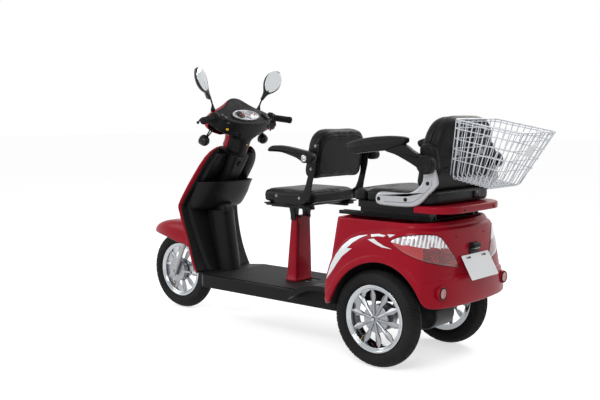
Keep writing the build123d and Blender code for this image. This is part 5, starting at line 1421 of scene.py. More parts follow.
def shell_lines():
    """Piping on the rear face of the front backrest, laid on the skin of the pad."""
    tree = tree_of(front_back_pad)
    toward = (front_back_place(0, 0, 1) - front_back_place(0, 0, 0)).normalized()
    for inset, radius, name in ((27, 0.0022, "outer"), (38, 0.0012, "inner")):
        ring = rounded_rectangle(
            FRONT_BACK_HALF - inset, FRONT_BACK_LOW + inset, FRONT_BACK_TOP - inset, (30, 30, 76, 76), 10
        )
        line = []
        for i, p in enumerate(ring):
            q = ring[(i + 1) % len(ring)]
            steps = max(1, int((q - p).length / 12))
            for k in range(steps):
                spot = p.lerp(q, k / steps)
                start = front_back_place(spot.x, spot.y, -40)
                hit = tree.ray_cast(start, toward)[0]
                if hit is not None:
                    line.append(hit - toward * radius * 0.2)
        piece("front_backrest_piping_" + name, *tube_mesh(line, radius, 8, closed=True), "leather", "chassis")


seat_seams()
shell_lines()


# Front armrest in the side view, from the pivot round the top to the nose and back
FRONT_ARM = (
    (378, 862), (384, 880), (402, 890), (440, 897), (500, 907), (560, 914), (610, 914), (634, 905),
    (642, 893), (636, 886), (600, 886), (560, 884), (520, 875), (470, 861), (440, 847), (412, 840), (388, 844)
)
FRONT_ARM_INNER, FRONT_ARM_OUTER = 220.4, 261.8
FRONT_ARM_PIVOT = (421, 862)
# Turned ring and cap at the pivot
PIVOT_RING = [(-0.003, 0.021), (0.0004, 0.021), (0.0016, 0.0195), (0.0016, 0.0165), (-0.001, 0.016)]
PIVOT_CAP = [
    (-0.001, 0.0155), (0.0022, 0.0152), (0.0034, 0.0135), (0.0036, 0.0095), (0.0030, 0.0085), (0.0030, 0),
]


def loft_bar(stations, section, place):
    """Closed form from stations (along, top, low, half width); section has pairs across, height, -1 to 1."""
    vertices = []
    for along, top, low, half in stations:
        for across, up in section:
            vertices.append(place(along, across * half, (top + low) / 2 + up * (top - low) / 2))
    count = len(section)
    faces = capped(len(stations), count)
    return vertices, faces


def round_section(sides=24, power=0.7, notches=(), depth=0.0):
    """A rounded box section, pinched in where its angle is near one of the notches."""
    section = []
    for k in range(sides):
        angle = 2 * pi * k / sides
        c, s = cos(angle), sin(angle)
        across, up = bent(c, power), bent(s, power)
        pinch = 1.0
        for notch in notches:
            off = abs((degrees(angle) - notch + 180) % 360 - 180)
            if off < 12:
                pinch = 1 - depth * (1 - off / 12)
        section.append((across * pinch, up))
    return section


def front_arm(side, name):
    body = "front_arm_" + name
    outline = flowing(FRONT_ARM, 3)
    width = FRONT_ARM_OUTER - FRONT_ARM_INNER
    layers = [(7, 0), (2, 1.5), (0, 6), (0, width - 8), (1.5, width - 3), (5, width - 0.6), (9, width)]
    place, node = from_side(FRONT_ARM_INNER, side), "front_armrest_" + name
    arm = layered("front_armrest_skin_" + name, outline, layers, place, "black_plastic", body, node)
    bevel(arm, 0.0012, 30)
    centre = at(FRONT_ARM_PIVOT[0], side * FRONT_ARM_OUTER, FRONT_ARM_PIVOT[1])
    out = Vector((0, side, 0))
    turned("front_armrest_ring_" + name, PIVOT_RING, centre, out, 40, "black_plastic", body)
    turned("front_armrest_cap_" + name, PIVOT_CAP, centre, out, 40, "chrome", body)
    bolt = hex_bolt(centre + out * 0.003, out, 0.006, 0.005)
    piece("front_armrest_bolt_" + name, *bolt, "chrome", body, smooth=False)


sides(front_arm)

# Silver brackets of the rear seat in the side view
BRACKET = (
    (36, 708), (31, 726), (10, 738), (-69, 738), (-128, 741), (-162, 756), (-184, 775), (-195, 795),
    (-198, 820), (-204, 852), (-228, 868), (-248, 858), (-251, 838), (-264, 791), (-252, 766), (-222, 738),
    (-195, 710), (-172, 693), (-140, 684), (-70, 681), (10, 683), (30, 691)
)
BRACKET_INNER, BRACKET_OUTER = 240, 256
BRACKET_LINE = ((-10, 699), (-70, 700), (-130, 702), (-166, 713), (-204, 741), (-238, 776), (-240, 800))
BRACKET_SCREWS = ((17, 709), (-116, 713), (-221, 785))


def silver_bracket(side, name):
    outline = flowing(BRACKET, 4)
    thick = BRACKET_OUTER - BRACKET_INNER
    layers = [
        (1, 0), (0, 1), (0, thick - 7), (1.2, thick - 3.6), (4, thick - 1.2), (8, thick - 0.3), (13, thick)
    ]
    layered(
        "seat_bracket_" + name, outline, layers, from_side(BRACKET_INNER, side), "silver", "rear_seat",
        "rear_seat_brackets" if side > 0 else ()
    )
    line = [at(x, side * (BRACKET_OUTER - 0.6), z) for x, z in BRACKET_LINE]
    piece("seat_bracket_line_" + name, *tube_mesh(smooth_line(line, 6), 0.0011, 8), "grey", "rear_seat")
    spots = [at(x, side * BRACKET_OUTER, z) for x, z in BRACKET_SCREWS]
    screws("seat_bracket_screws_" + name, spots, (0, side, 0), 0.0085, 0.0032, "black_metal", "rear_seat")


sides(silver_bracket)

UPRIGHT = (
    (-179, 868), (-176, 925), (-183, 938), (-206, 945), (-232, 941), (-245, 927), (-252, 890), (-258, 844),
    (-236, 832), (-196, 846)
)


def arm_upright(side, name):
    """Moulded knuckle behind the pivot of the rear armrest."""
    outline = [(p.x, p.y) for p in round_corners([Vector((x, z, 0)) for x, z in UPRIGHT], 12, 4)]
    layers = [(4, -18), (0, -12), (0, 13), (3, 20), (9, 24), (16, 25)]
    made = layered("arm_upright_" + name, outline, layers, from_side(231, side), "black_plastic", "rear_seat")
    bevel(made, 0.002, 35, 3)


sides(arm_upright)

ARM_PIVOT = (-226, 861)
REAR_ARM_Y = 276
# Moulded arm in the side view, and the drum at its pivot as (along, radius)
ARM_BLADE = (
    (-250, 886), (-226, 899), (-205, 897), (-162, 916), (-134, 934), (-100, 948), (-60, 952), (-20, 940),
    (-30, 912), (-84, 896), (-149, 868), (-191, 846), (-200, 832), (-226, 823), (-252, 834), (-264, 861)
)
ARM_DRUM = [
    (0.0, 0.030), (0.001, 0.0365), (0.004, 0.038), (0.033, 0.038), (0.0375, 0.0355), (0.0388, 0.0320),
    (0.0388, 0.0240), (0.0378, 0.0232), (0.0372, 0.0215), (0.0380, 0.0200), (0.0384, 0.0125),
    (0.0372, 0.0110), (0.0372, 0)
]
# Rear armrest pad. Columns: along, top, underside, half width
REAR_PAD = (
    (-135, 960, 954, 10), (-133, 967, 946, 20), (-118, 971, 938, 24), (-80, 973, 925, 25),
    (-45, 973, 913, 25), (25, 968, 905, 25), (75, 961, 899, 24), (118, 952, 893, 23), (146, 944, 897, 20),
    (162, 938, 908, 16), (170, 932, 918, 10), (172, 928, 924, 4)
)


def rear_arm(side, name):
    body = "rear_arm_" + name
    outline = flowing(ARM_BLADE, 4)
    layers = [(5, 0), (1, 1.2), (0, 5), (0, 26), (1.5, 31), (5, 33.6), (10, 34.5)]
    layered(
        "rear_armrest_blade_" + name, outline, layers, from_side(257, side), "black_plastic", body,
        "rear_armrest_" + name
    )
    centre = at(ARM_PIVOT[0], side * 256.6, ARM_PIVOT[1])
    turned("rear_armrest_drum_" + name, ARM_DRUM, centre, (0, side, 0), 56, "black_plastic", body)
    section = round_section(36, 0.62, (12, 168, 200, 340), 0.10)
    fine = in_steps(REAR_PAD, 4)
    place = lambda along, across, height: at(along, side * REAR_ARM_Y + across, height)
    soft = piece("rear_armrest_pad_" + name, *loft_bar(fine, section, place), "leather", body)
    subdivided(soft)


sides(rear_arm)


# Shell behind the rear backrest, with a seam that rises towards its ends
SHELL_SEAM_STEPS, SHELL_SEAM_END, SHELL_SEAM_HALF = 60, 236, 212
SHELL_SEAM_LOW, SHELL_SEAM_RISE = 128, 26


def rear_shell():
    outline = back_shape(0)
    layers = [
        (1, -0.3), (0, -3), (0, -20), (1.5, -29), (5, -36), (11, -41), (20, -43.5), (60, -45), (110, -46)
    ]
    shell = layered(
        "rear_shell_skin", outline, layers, rear_back_place, "black_plastic", "rear_seat", "rear_seat_shell"
    )
    subdivided(shell)
    tree = tree_of(shell)
    toward = (rear_back_place(0, 0, 1) - rear_back_place(0, 0, 0)).normalized()
    line = []
    for k in range(SHELL_SEAM_STEPS + 1):
        u = -SHELL_SEAM_END + 2 * SHELL_SEAM_END * k / SHELL_SEAM_STEPS
        v = SHELL_SEAM_LOW + SHELL_SEAM_RISE * (abs(u) / 225) ** 2
        hit = tree.ray_cast(rear_back_place(u, v, -120), toward)[0] if abs(u) <= SHELL_SEAM_HALF else None
        if hit is not None:
            line.append(hit)
    piece("rear_shell_seam", *tube_mesh(line, 0.0009, 8), "liner", "rear_seat")
    low = round_corners(
        [(-235, -232), (-120, -234), (-120, 234), (-235, 232), (-243, 120), (-245, 0), (-243, -120)],
        [46, 10, 10, 46, 0, 0, 0], 8
    )
    layers = [(16, 692), (4, 696), (0, 706), (0, 728), (3, 740), (12, 748), (30, 751)]
    pan = layered("rear_seat_skirt", low, layers, on_plan, "leather", "rear_seat")
    modify(pan, "SUBSURF", levels=1, render_levels=1)
    piece(
        "rear_seat_latch", *box_mesh(at(-246, -96, 722), (0.005, 0.052, 0.030), (1, 4, 3)), "black_metal",
        "rear_seat"
    )
    screws("rear_seat_latch_screw", [at(-249, -96, 730)], (-1, 0, 0), 0.004, 0.002, "dull_metal", "rear_seat")


rear_shell()


# Red panel round the rear seat frame
def tail_panel():
    outline = round_corners([
        (-150, 246), (-236, 246), (-292, 204), (-310, 150), (-313, 0), (-310, -150), (-292, -204),
        (-236, -246), (-150, -246), (-150, -207), (-196, -207), (-196, 207), (-150, 207),
    ], [3, 26, 26, 20, 0, 20, 26, 26, 3, 3, 3, 3, 3], 6)
    layers = [(2, 661), (0.4, 661.6), (0, 663), (0, 684), (1.5, 687.5), (4.5, 689.4), (9, 690)]
    layered("tail_panel_skin", outline, layers, on_plan, "red_paint", "rear_seat", "tail_panel")
    spots = [at(-312, y, 672) for y in (113, -129)]
    screws("tail_panel_screws", spots, (-1, 0, 0), 0.0045, 0.0018, "cable", "rear_seat")


tail_panel()

# Basket of round white wire
BASKET_TOP_FRONT, BASKET_TOP_REAR = (-287, 170, 1043), (-571, 166, 991)
BASKET_LOW_FRONT, BASKET_LOW_REAR = (-247, 140, 801), (-438, 132, 763)
BASKET_WALL_R, BASKET_RIM_R = 0.0021, 0.0032
BASKET_RINGS = (0.335, 0.51, 0.68, 0.85)
# Wires down the long walls and down the ends: how many, share of the wall they take, share left before them
WIRES_ALONG, WIRES_ACROSS = (9, 0.90, 0.05), (8, 0.88, 0.06)
# The wires across run under the floor above those along it
WIRE_GAP = Vector((0, 0, 4))


def basket_corner(end, left, t):
    """A corner of the basket at height share t; end is 0 at the front and 1 at the rear."""
    low, high = (BASKET_LOW_REAR, BASKET_TOP_REAR) if end else (BASKET_LOW_FRONT, BASKET_TOP_FRONT)
    low, high = (low[0], low[1] * left, low[2]), (high[0], high[1] * left, high[2])
    return Vector([a + (b - a) * t for a, b in zip(low, high)])


def basket_ring(t, radius=26, grow=0.0):
    corners = [basket_corner(end, left, t) for end, left in ((0, 1), (1, 1), (1, -1), (0, -1))]
    if grow:
        middle = sum(corners, Vector()) / 4
        corners = [p + (p - middle).normalized() * grow for p in corners]
    return [at(*p) for p in round_corners(corners, radius, 6)]


def basket_hoop(start, end, low_start, low_end, bend=22):
    """A wire down one wall, under the floor and up the other."""
    line = round_corners([start, low_start, low_end, end], bend, 5, closed=False)
    return tube_mesh([at(*p) for p in line], BASKET_WALL_R, 8)


def wire_basket():
    parts = []
    for t in BASKET_RINGS:
        parts.append(tube_mesh(basket_ring(t), BASKET_WALL_R, 8, closed=True))
    parts.append(tube_mesh(basket_ring(0.995, 28), BASKET_RIM_R, 10, closed=True))
    parts.append(tube_mesh(basket_ring(0.955, 28), BASKET_WALL_R, 8, closed=True))
    count, span, start = WIRES_ALONG
    for k in range(count):
        share = (k + 0.5) / count * span + start
        tops = [basket_corner(0, left, 1).lerp(basket_corner(1, left, 1), share) for left in (1, -1)]
        lows = [basket_corner(0, left, 0).lerp(basket_corner(1, left, 0), share) for left in (1, -1)]
        parts.append(basket_hoop(tops[0], tops[1], lows[0], lows[1]))
    count, span, start = WIRES_ACROSS
    for k in range(count):
        share = (k + 0.5) / count * span + start
        tops = [basket_corner(end, 1, 1).lerp(basket_corner(end, -1, 1), share) for end in (0, 1)]
        lows = [
            basket_corner(end, 1, 0).lerp(basket_corner(end, -1, 0), share) + WIRE_GAP
            for end in (0, 1)
        ]
        parts.append(basket_hoop(tops[0], tops[1], lows[0], lows[1]))
    for share in (0.0, 1.0):
        for left in (1, -1):
            top, low = basket_corner(share, left, 1), basket_corner(share, left, 0)
            middle = (basket_corner(0, 1, 0.5) + basket_corner(1, -1, 0.5)) / 2
            inward = Vector((middle.x - top.x, middle.y - top.y, 0)).normalized() * 9
            parts.append(
                tube_mesh([at(*(top + inward)), at(*(low + inward + Vector((0, 0, 14))))], BASKET_WALL_R, 8)
            )
    piece("wire_basket", *join(parts), "white_wire", "rear_seat", "basket")


wire_basket()


def basket_fittings():
    """Flat clips that hold the basket on the shell, and the blank tag on its rear wall."""
    parts = []
    for y in (100, -100):
        for z in (1003, 905):
            # The front wall leans 40 mm over its height
            x = BASKET_TOP_FRONT[0] + (1043 - z) / 242 * 40
            parts.append(box_mesh(at(x + 2, y, z), (0.004, 0.020, 0.022), (1, 3, 3)))
            parts.append(box_mesh(at(x + 12, y, z), (0.020, 0.012, 0.004), (3, 2, 1)))
    piece("basket_clips", *join(parts), "dull_metal", "rear_seat", smooth=False)
    top, low = basket_corner(1, 1, 0.75), basket_corner(1, 1, 0.58)
    edges = ((top, 34), (low, 34), (low, -34), (top, -34))
    tag = [Vector((edge.x - 3, y, edge.z)) for edge, y in edges]
    outline = [at(*p) for p in round_corners(tag, 6)]
    piece(
        "basket_tag", *slab_mesh(outline, Vector((-0.0015, 0, 0.0006))), "plate", "rear_seat", smooth=False
    )


basket_fittings()


# Handlebar cowl, drawn in the steering's own millimetres: s along the axis, r ahead of it, y to the left
# Columns: s, ahead end, behind end, half width, r where black meets red
COWL_RINGS = (
    (762, 34, -98, 59, -29),
    (800, 34, -98, 59, -29),
    (832, 52, -98, 64, -28),
    (848, 84, -98, 92, -24),
    (858, 100, -97, 140, -18),
    (868, 104, -96, 182, -6),
    (886, 105, -95, 202, 4),
    (916, 104, -94, 204, 8),
)
# How far the red half's wings hang below the black ones
RED_HANG = 20
DASH_LOW_S, DASH_RISE = 933, 0.33
DASH_DROP = 0.72
COWL_HALF, DASH_BEHIND, DASH_AHEAD = 202, -92, 88
RING_POWER = 0.87
# Left half of the black dash's outline ahead of the wings: y, r
DASH_RIDGE = ((0, 84), (40, 78), (78, 52), (115, 32), (150, 22), (180, 13), (195, 2))
DIAL_CENTRE, DIAL_HALF, DIAL_DEEP = -29, 92, 34
NEEDLE_HUB = [(-0.001, 0.0035), (0.0012, 0.0035), (0.002, 0)]
# Small lamps on the instrument: turned profile, and where they stand
DIAL_LAMP = [(-0.001, 0.0028), (0.0008, 0.0028), (0.0014, 0)]
DIAL_LAMPS = ((9, -12), (9, -22), (9, -34), (9, -46), (-70, -22), (-70, -36))


def dash_height(r, y):
    """Height along the axis of the dash, tilted to the rider and falling towards the wings."""
    return DASH_LOW_S + (r - DASH_BEHIND) * DASH_RISE * (1 - DASH_DROP * min(1.0, abs(y) / 205) ** 1.7)


def ridge_r(y):
    return between(DASH_RIDGE, y)


def ring_point(ahead, behind, half, angle):
    middle, reach = (ahead + behind) / 2, (ahead - behind) / 2
    c, s = cos(angle), sin(angle)
    return (middle + reach * bent(c, RING_POWER), half * bent(s, RING_POWER))


def parting_angle(ahead, behind, parting):
    middle, reach = (ahead + behind) / 2, (ahead - behind) / 2
    share = max(-1.0, min(1.0, (parting - middle) / reach))
    c = bent(share, 1 / RING_POWER)
    return atan2((1 - c * c) ** 0.5, c)


def cowl_shell(name, front, look, node):
    """One half of the cowl as rings from the neck up to the dash."""
    rows = smooth_line([Vector(row) for row in COWL_RINGS], 5)
    columns = 72
    vertices = []
    top = Vector((0, DASH_AHEAD, DASH_BEHIND, COWL_HALF, 8))
    for i in range(len(rows) + 7):
        lift = max(0, i - len(rows) + 1) / 7
        row = rows[min(i, len(rows) - 1)]
        ahead, behind, half, parting = (row[k] + (top[k] - row[k]) * lift for k in (1, 2, 3, 4))
        meet = parting_angle(ahead, behind, parting)
        for j in range(columns + 1):
            u = j / columns
            angle = meet * (2 * u - 1) if front else meet + (2 * pi - 2 * meet) * u
            r, y = ring_point(ahead, behind, half, angle)
            if front:
                r += (ridge_r(abs(y)) + 3 - r) * 0.55 * lift * lift
            rim = dash_height(r, y) - (5 + 10 * min(1.0, abs(y) / 90) if front else 2)
            s = row[0] + (rim - row[0]) * lift
            if front:
                s -= RED_HANG * (1 - lift) * min(1.0, max(0.0, (row[3] - 70) / 60))
            if not front and s < 880:
                fold = 34 + max(0.0, s - 800) * 0.42
                deep = min(1.0, max(0.0, (abs(y) - fold) / 5)) * min(1.0, max(0.0, (900 - s) / 20))
                r, y = r + 3.2 * deep, y * (1 - 0.03 * deep)
            vertices.append(steer_at(r, y, s))
    rings = len(rows) + 7
    if front:
        shoulder = vertices[-(columns + 1):]
        for share, sink in ((0.6, 3.0), (1.0, 4.5), (1.1, 9)):
            for j in range(columns + 1):
                r, y = ring_point(88, DASH_BEHIND, COWL_HALF, meet * (2 * j / columns - 1))
                edge = ridge_r(abs(y))
                inner = steer_at(edge, y * 0.99, dash_height(edge, y) - sink)
                vertices.append(shoulder[j] + (inner - shoulder[j]) * share)
            rings += 1
    made = piece(name, vertices, grid_faces(rings, columns + 1), look, "steering", node)
    return thickened(made, 0.0028, -1)


def dash():
    """The black top: a rolled rim and a bowl that falls to the dial."""
    left = [Vector((r, y)) for y, r in DASH_RIDGE]
    meet = parting_angle(DASH_AHEAD, DASH_BEHIND, 0)
    behind = [
        Vector(ring_point(DASH_AHEAD, DASH_BEHIND, COWL_HALF, meet + (pi - meet) * k / 12))
        for k in range(1, 13)
    ]
    half = left + behind
    outline = half + [Vector((p.x, -p.y)) for p in reversed(half[1:-1])]
    outline = flowing(outline, 3)
    centre = Vector((DIAL_CENTRE, 0))
    # Columns: share of the way out from the dial's middle, height over the dash
    profile = (
        (1.0, -7), (1.003, -3), (0.99, -0.8), (0.97, 0), (0.93, -0.4), (0.86, -2.2), (0.76, -4.6),
        (0.66, -6.2), (0.56, -7), (0.4, -7), (0.2, -7), (0.02, -7)
    )
    vertices = []
    for share, lift in profile:
        for p in outline:
            spot = centre + (p - centre) * share
            vertices.append(steer_at(spot.x, spot.y, dash_height(spot.x, spot.y) + lift))
    faces = grid_faces(len(profile), len(outline), close_columns=True)
    faces.append(tuple(range((len(profile) - 1) * len(outline), len(profile) * len(outline))))
    return piece("dash", vertices, faces, "black_plastic", "steering")


def on_dash(r, y, lift):
    """A place over the tilted dash beside the dial; lift is square to it."""
    tilt = atan2(DASH_RISE, 1)
    return steer_at(
        r - sin(tilt) * lift, y, DASH_LOW_S - 7 + (r - DASH_BEHIND) * DASH_RISE + cos(tilt) * lift
    )


def oval(half_y, half_r, middle_y=0.0, middle_r=DIAL_CENTRE, steps=72):
    return [
        (middle_y + half_y * cos(2 * pi * k / steps), middle_r + half_r * sin(2 * pi * k / steps))
        for k in range(steps)
    ]


def dial_place(u, v, height):
    return on_dash(v, u, height)


# Gauges: middle across and ahead, half width, half depth, look, where the needle points in degrees
GAUGES = ((44, -29, 30, 25, "cable", 205), (-26, -29, 34, 25, "dial", 150))


def dial():
    """The instrument: pale bezel, silver face, two round gauges with needles, small lamps between."""
    layers = [(-1, 0), (-1, 4), (0.5, 6.5), (3, 7.5), (6, 6.5), (8, 3.5)]
    bezel = oval(DIAL_HALF, DIAL_DEEP)
    layered("dial_bezel", bezel, layers, dial_place, "silver", "steering", "instrument_cluster")
    layered(
        "dial_face", oval(DIAL_HALF - 7, DIAL_DEEP - 7), [(0, 2), (0, 4.6), (1, 5)], dial_place, "dial",
        "steering"
    )
    marks, needles, rings = [], [], []
    for middle_y, middle_r, wide, deep, look, pointed in GAUGES:
        disc = layered_mesh(
            oval(wide, deep, middle_y, middle_r, 48), [(0, 4.6), (0, 6), (0.8, 6.4)], dial_place
        )
        piece("gauge_" + ("left" if middle_y > 0 else "right"), *disc, look, "steering")
        ring = [dial_place(u, v, 6.6) for u, v in oval(wide + 1, deep + 1, middle_y, middle_r, 48)]
        rings.append(tube_mesh(ring, 0.0012, 8, closed=True))
        for k in range(13):
            angle = radians(-40 + 260 * k / 12)
            inner = 0.72 if k % 3 else 0.6
            ends = [
                dial_place(middle_y + wide * f * cos(angle), middle_r + deep * f * sin(angle), 6.9)
                for f in (inner, 0.9)
            ]
            marks.append(tube_mesh(ends, 0.0005, 5))
        angle = radians(pointed)
        tip = dial_place(middle_y + wide * 0.78 * cos(angle), middle_r + deep * 0.78 * sin(angle), 8.4)
        tail = dial_place(middle_y - wide * 0.14 * cos(angle), middle_r - deep * 0.14 * sin(angle), 8.4)
        needles.append(tube_mesh([tail, tip], [0.0019, 0.0007], 8))
        needles.append(lathe_mesh(NEEDLE_HUB, dial_place(middle_y, middle_r, 7.4), STEER_UP, 16))
    piece("gauge_rings", *join(rings), "chrome", "steering")
    piece("gauge_marks", *join(marks), "decal", "steering")
    piece("gauge_needles", *join(needles), "needle", "steering")
    lamps = [lathe_mesh(DIAL_LAMP, dial_place(u, v, 5.4), STEER_UP, 14) for u, v in DIAL_LAMPS]
    piece("dial_lamps", *join(lamps), "red_button", "steering")


def rounded_box(u, v, half_u, half_v, corner):
    """Outline of a small key, given its middle and its half sizes."""
    ends = ((-1, -1), (1, -1), (1, 1), (-1, 1))
    return round_corners([(u + half_u * a, v + half_v * b, 0) for a, b in ends], corner)


def cowl_button(name, tree, start, toward, half_wide, half_high, high, look, corner=2.0):
    """A rounded key that stands on the cowl where a ray from start meets it."""
    hit, normal, _, _ = tree.ray_cast(start, toward)
    if hit is None:
        return None
    if normal.dot(toward) > 0:
        normal = -normal
    across = normal.cross(Vector((0, 0, 1))).normalized()
    up = across.cross(normal)
    outline, layers = rounded_box(0, 0, half_wide, half_high, corner), [(0, -2), (0, high - 1), (1, high)]
    return layered(name, outline, layers, on_plane(hit, across, up, normal), look, "steering")


# Keys on the cowl: name, s, y, half width, half height, height, look
COWL_KEYS = (
    ("key_yellow", 893, 146, 7, 5, 5, "yellow"), ("key_low_left", 926, 150, 8, 4.5, 4, "grey"),
    ("key_right_frame", 905, -150, 13, 9, 3, "cable"), ("key_right", 905, -150, 8, 5, 6, "black_metal"),
    ("cowl_screw", 815, -4, 4, 4, 1.5, "brass"),
)


def cowl_keys(tree):
    for name, s, y, wide, high, tall, look in COWL_KEYS:
        corner = wide * 0.95 if "screw" in name else 2.5
        cowl_button(name, tree, steer_at(-240, y, s), STEER_AHEAD, wide, high, tall, look, corner)
    frame_outline = round_corners([(-70, 134, 0), (-8, 134, 0), (-10, 184, 0), (-58, 176, 0)], 8, 5)

    def place(u, v, height):
        return steer_at(u, v, dash_height(u, v) + height)

    for side, name in ((1, "left"), (-1, "right")):
        outline = [(p.x, p.y * side, 0) for p in frame_outline]
        layered(
            "wing_pad_" + name, outline, [(0, -6), (0, 0.6), (1.2, 1.6), (4, 1.6), (5.2, 0.4), (8, 0.2)],
            place, "black_plastic", "steering"
        )
        for k, (r, y) in enumerate(((-44, 152), (-24, 160))):
            low, high = side * (y - 9), side * (y + 9)
            key = round_corners([(r - 8, low, 0), (r + 8, low, 0), (r + 8, high, 0), (r - 8, high, 0)], 3)
            layered(
                "wing_key_%s_%d" % (name, k + 1), key, [(0, -2), (0, 3.2), (1.4, 4.4)], place, "grey",
                "steering"
            )


def bar_line(side):
    return [steer_at(0, side * 150, 925), steer_at(-14, side * 190, 931), steer_at(-60, side * 316, 935)]


def grip_profile():
    """(along, radius) from the inner flange to the round end; ribs are cut into the profile."""
    profile = [(0, 0.0115), (0, 0.0215), (0.003, 0.0225), (0.006, 0.0215), (0.007, 0.0165)]
    for k in range(14):
        start = 0.010 + k * 0.0061
        profile += [
            (start, 0.0158), (start + 0.0006, 0.0168), (start + 0.0038, 0.0170), (start + 0.0046, 0.0158)
        ]
    return profile + [
        (0.097, 0.0158), (0.099, 0.0178), (0.106, 0.0182), (0.111, 0.0165), (0.1125, 0.010), (0.1125, 0)
    ]


def hand_grip(side, name):
    line = bar_line(side)
    along = (line[2] - line[1]).normalized()
    start = line[1] + along * 0.0275
    turned("grip_" + name, grip_profile(), start, along, 40, "grip", "steering", "grips")
    collar = [
        (0.002, 0.012), (0.002, 0.024), (0.004, 0.0262), (0.020, 0.0262), (0.023, 0.023), (0.025, 0.0225),
        (0.025, 0.012)
    ]
    turned("switch_" + name, collar, line[1] + along * 0.001, along, 40, "black_plastic", "steering")
    pivot = steer_at(-2, side * 206, 917)
    bend = [
        pivot, steer_at(12, side * 216, 914), steer_at(24, side * 232, 910), steer_at(21, side * 252, 904),
        steer_at(10, side * 270, 896), steer_at(5, side * 279, 893)
    ]
    line_points = smooth_line(bend, 5)
    thick = [0.0062 - 0.0025 * k / (len(line_points) - 1) for k in range(len(line_points))]
    lever = tube_mesh(line_points, thick, 14, squash=0.72)
    ball = lathe_mesh(
        [(-0.0075 * cos(pi * k / 10), max(1e-6, 0.0075 * sin(pi * k / 10))) for k in range(11)],
        line_points[-1], (0, 1, 0), 20
    )
    piece("lever_" + name, *join([lever, ball]), "black_metal", "steering", "brake_levers")
    holder = tube_mesh(
        [steer_at(-10, side * 199, 924), steer_at(0, side * 207, 917), steer_at(8, side * 214, 911)],
        [0.012, 0.0105, 0.008], 18, squash=0.8
    )
    bolt = hex_bolt(steer_at(2, side * 208, 922), STEER_UP, 0.0042, 0.004)
    piece("lever_holder_" + name, *holder, "black_metal", "steering")
    piece("lever_bolt_" + name, *bolt, "chrome", "steering")


# Switch pod under the right grip: a rounded housing with two red keys and a small nub
def right_pod():
    centre = steer_at(-36, -204, 893)
    outline = round_corners([(-29, -20, 0), (26, -20, 0), (30, 20, 0), (-26, 20, 0)], 9, 5)
    place = on_plane(centre, Vector((0, -1, 0)), STEER_UP, -STEER_AHEAD)
    layered(
        "switch_pod", outline, [(4, -16), (0, -12), (0, 10), (3, 14), (6, 15)], place, "black_plastic",
        "steering"
    )
    for k, (u, v) in enumerate(((20, 7), (-19, -11))):
        key = rounded_box(u, v, 5, 4, 2.5)
        layered("red_key_%d" % (k + 1), key, [(0, 8), (0, 18), (1.4, 20)], place, "red_button", "steering")
    nub = lathe_mesh(
        [(-0.004, 0.004), (0.008, 0.0045), (0.011, 0.003), (0.0115, 0)], place(9, -19, 4), -STEER_UP, 18
    )
    piece("pod_nub", *nub, "black_metal", "steering")


# Turn lamps: round black cups whose pale lens faces ahead, on two thin stalks
TURN_LAMP = (-12, 214, 801)
TURN_LAMP_R = 0.027


def turn_lamp(side, name):
    centre = steer_at(TURN_LAMP[0], side * TURN_LAMP[1], TURN_LAMP[2])
    r = TURN_LAMP_R
    cup = [(-r * cos(pi / 2 * k / 10), max(1e-6, r * sin(pi / 2 * k / 10))) for k in range(11)]
    cup += [(0.006, r * 0.995), (0.0075, r * 1.02), (0.012, r * 1.02), (0.0135, r * 0.98), (0.0135, r * 0.9)]
    turned("turn_lamp_" + name, cup, centre, STEER_AHEAD, 48, "black_gloss", "steering", "turn_lamps")
    lens = [
        (0.0125, r * 0.96), (0.015, r * 0.97), (0.020, r * 0.86), (0.0235, r * 0.6), (0.0245, r * 0.25),
        (0.0247, 0)
    ]
    turned("turn_lens_" + name, lens, centre, STEER_AHEAD, 48, "lamp_pale", "steering")
    stalks = []
    for spread in (-9, 9):
        low = centre + STEER_UP * 0.021 + Vector((0, -side * 0.008, 0)) + STEER_AHEAD * (spread * 0.4 * MM)
        high = steer_at(-2 + spread, side * 178, 866)
        stalks.append(
            tube_mesh(
                smooth_line([low, (low + high) / 2 + Vector((0, -side * 0.003, 0)), high], 4), 0.0036, 10
            )
        )
    piece("turn_stalks_" + name, *join(stalks), "black_metal", "steering")


# Mirrors: a stem with a bend, a long neck and a teardrop head with its glass towards the rider
MIRROR_TURN = radians(20)
MIRROR_HEAD = (
    (0, 0), (1, 7), (20, 9.5), (40, 14), (54, 22), (68, 32), (86, 41), (108, 46.5), (132, 45.5), (155, 37),
    (172, 24), (183, 8), (185, 0)
)
# The pane's middle along the head, its half length, half width, and how much narrower it is at the foot
PANE_MIDDLE, PANE_LONG, PANE_WIDE, PANE_TAPER = 117, 63, 43, 0.16


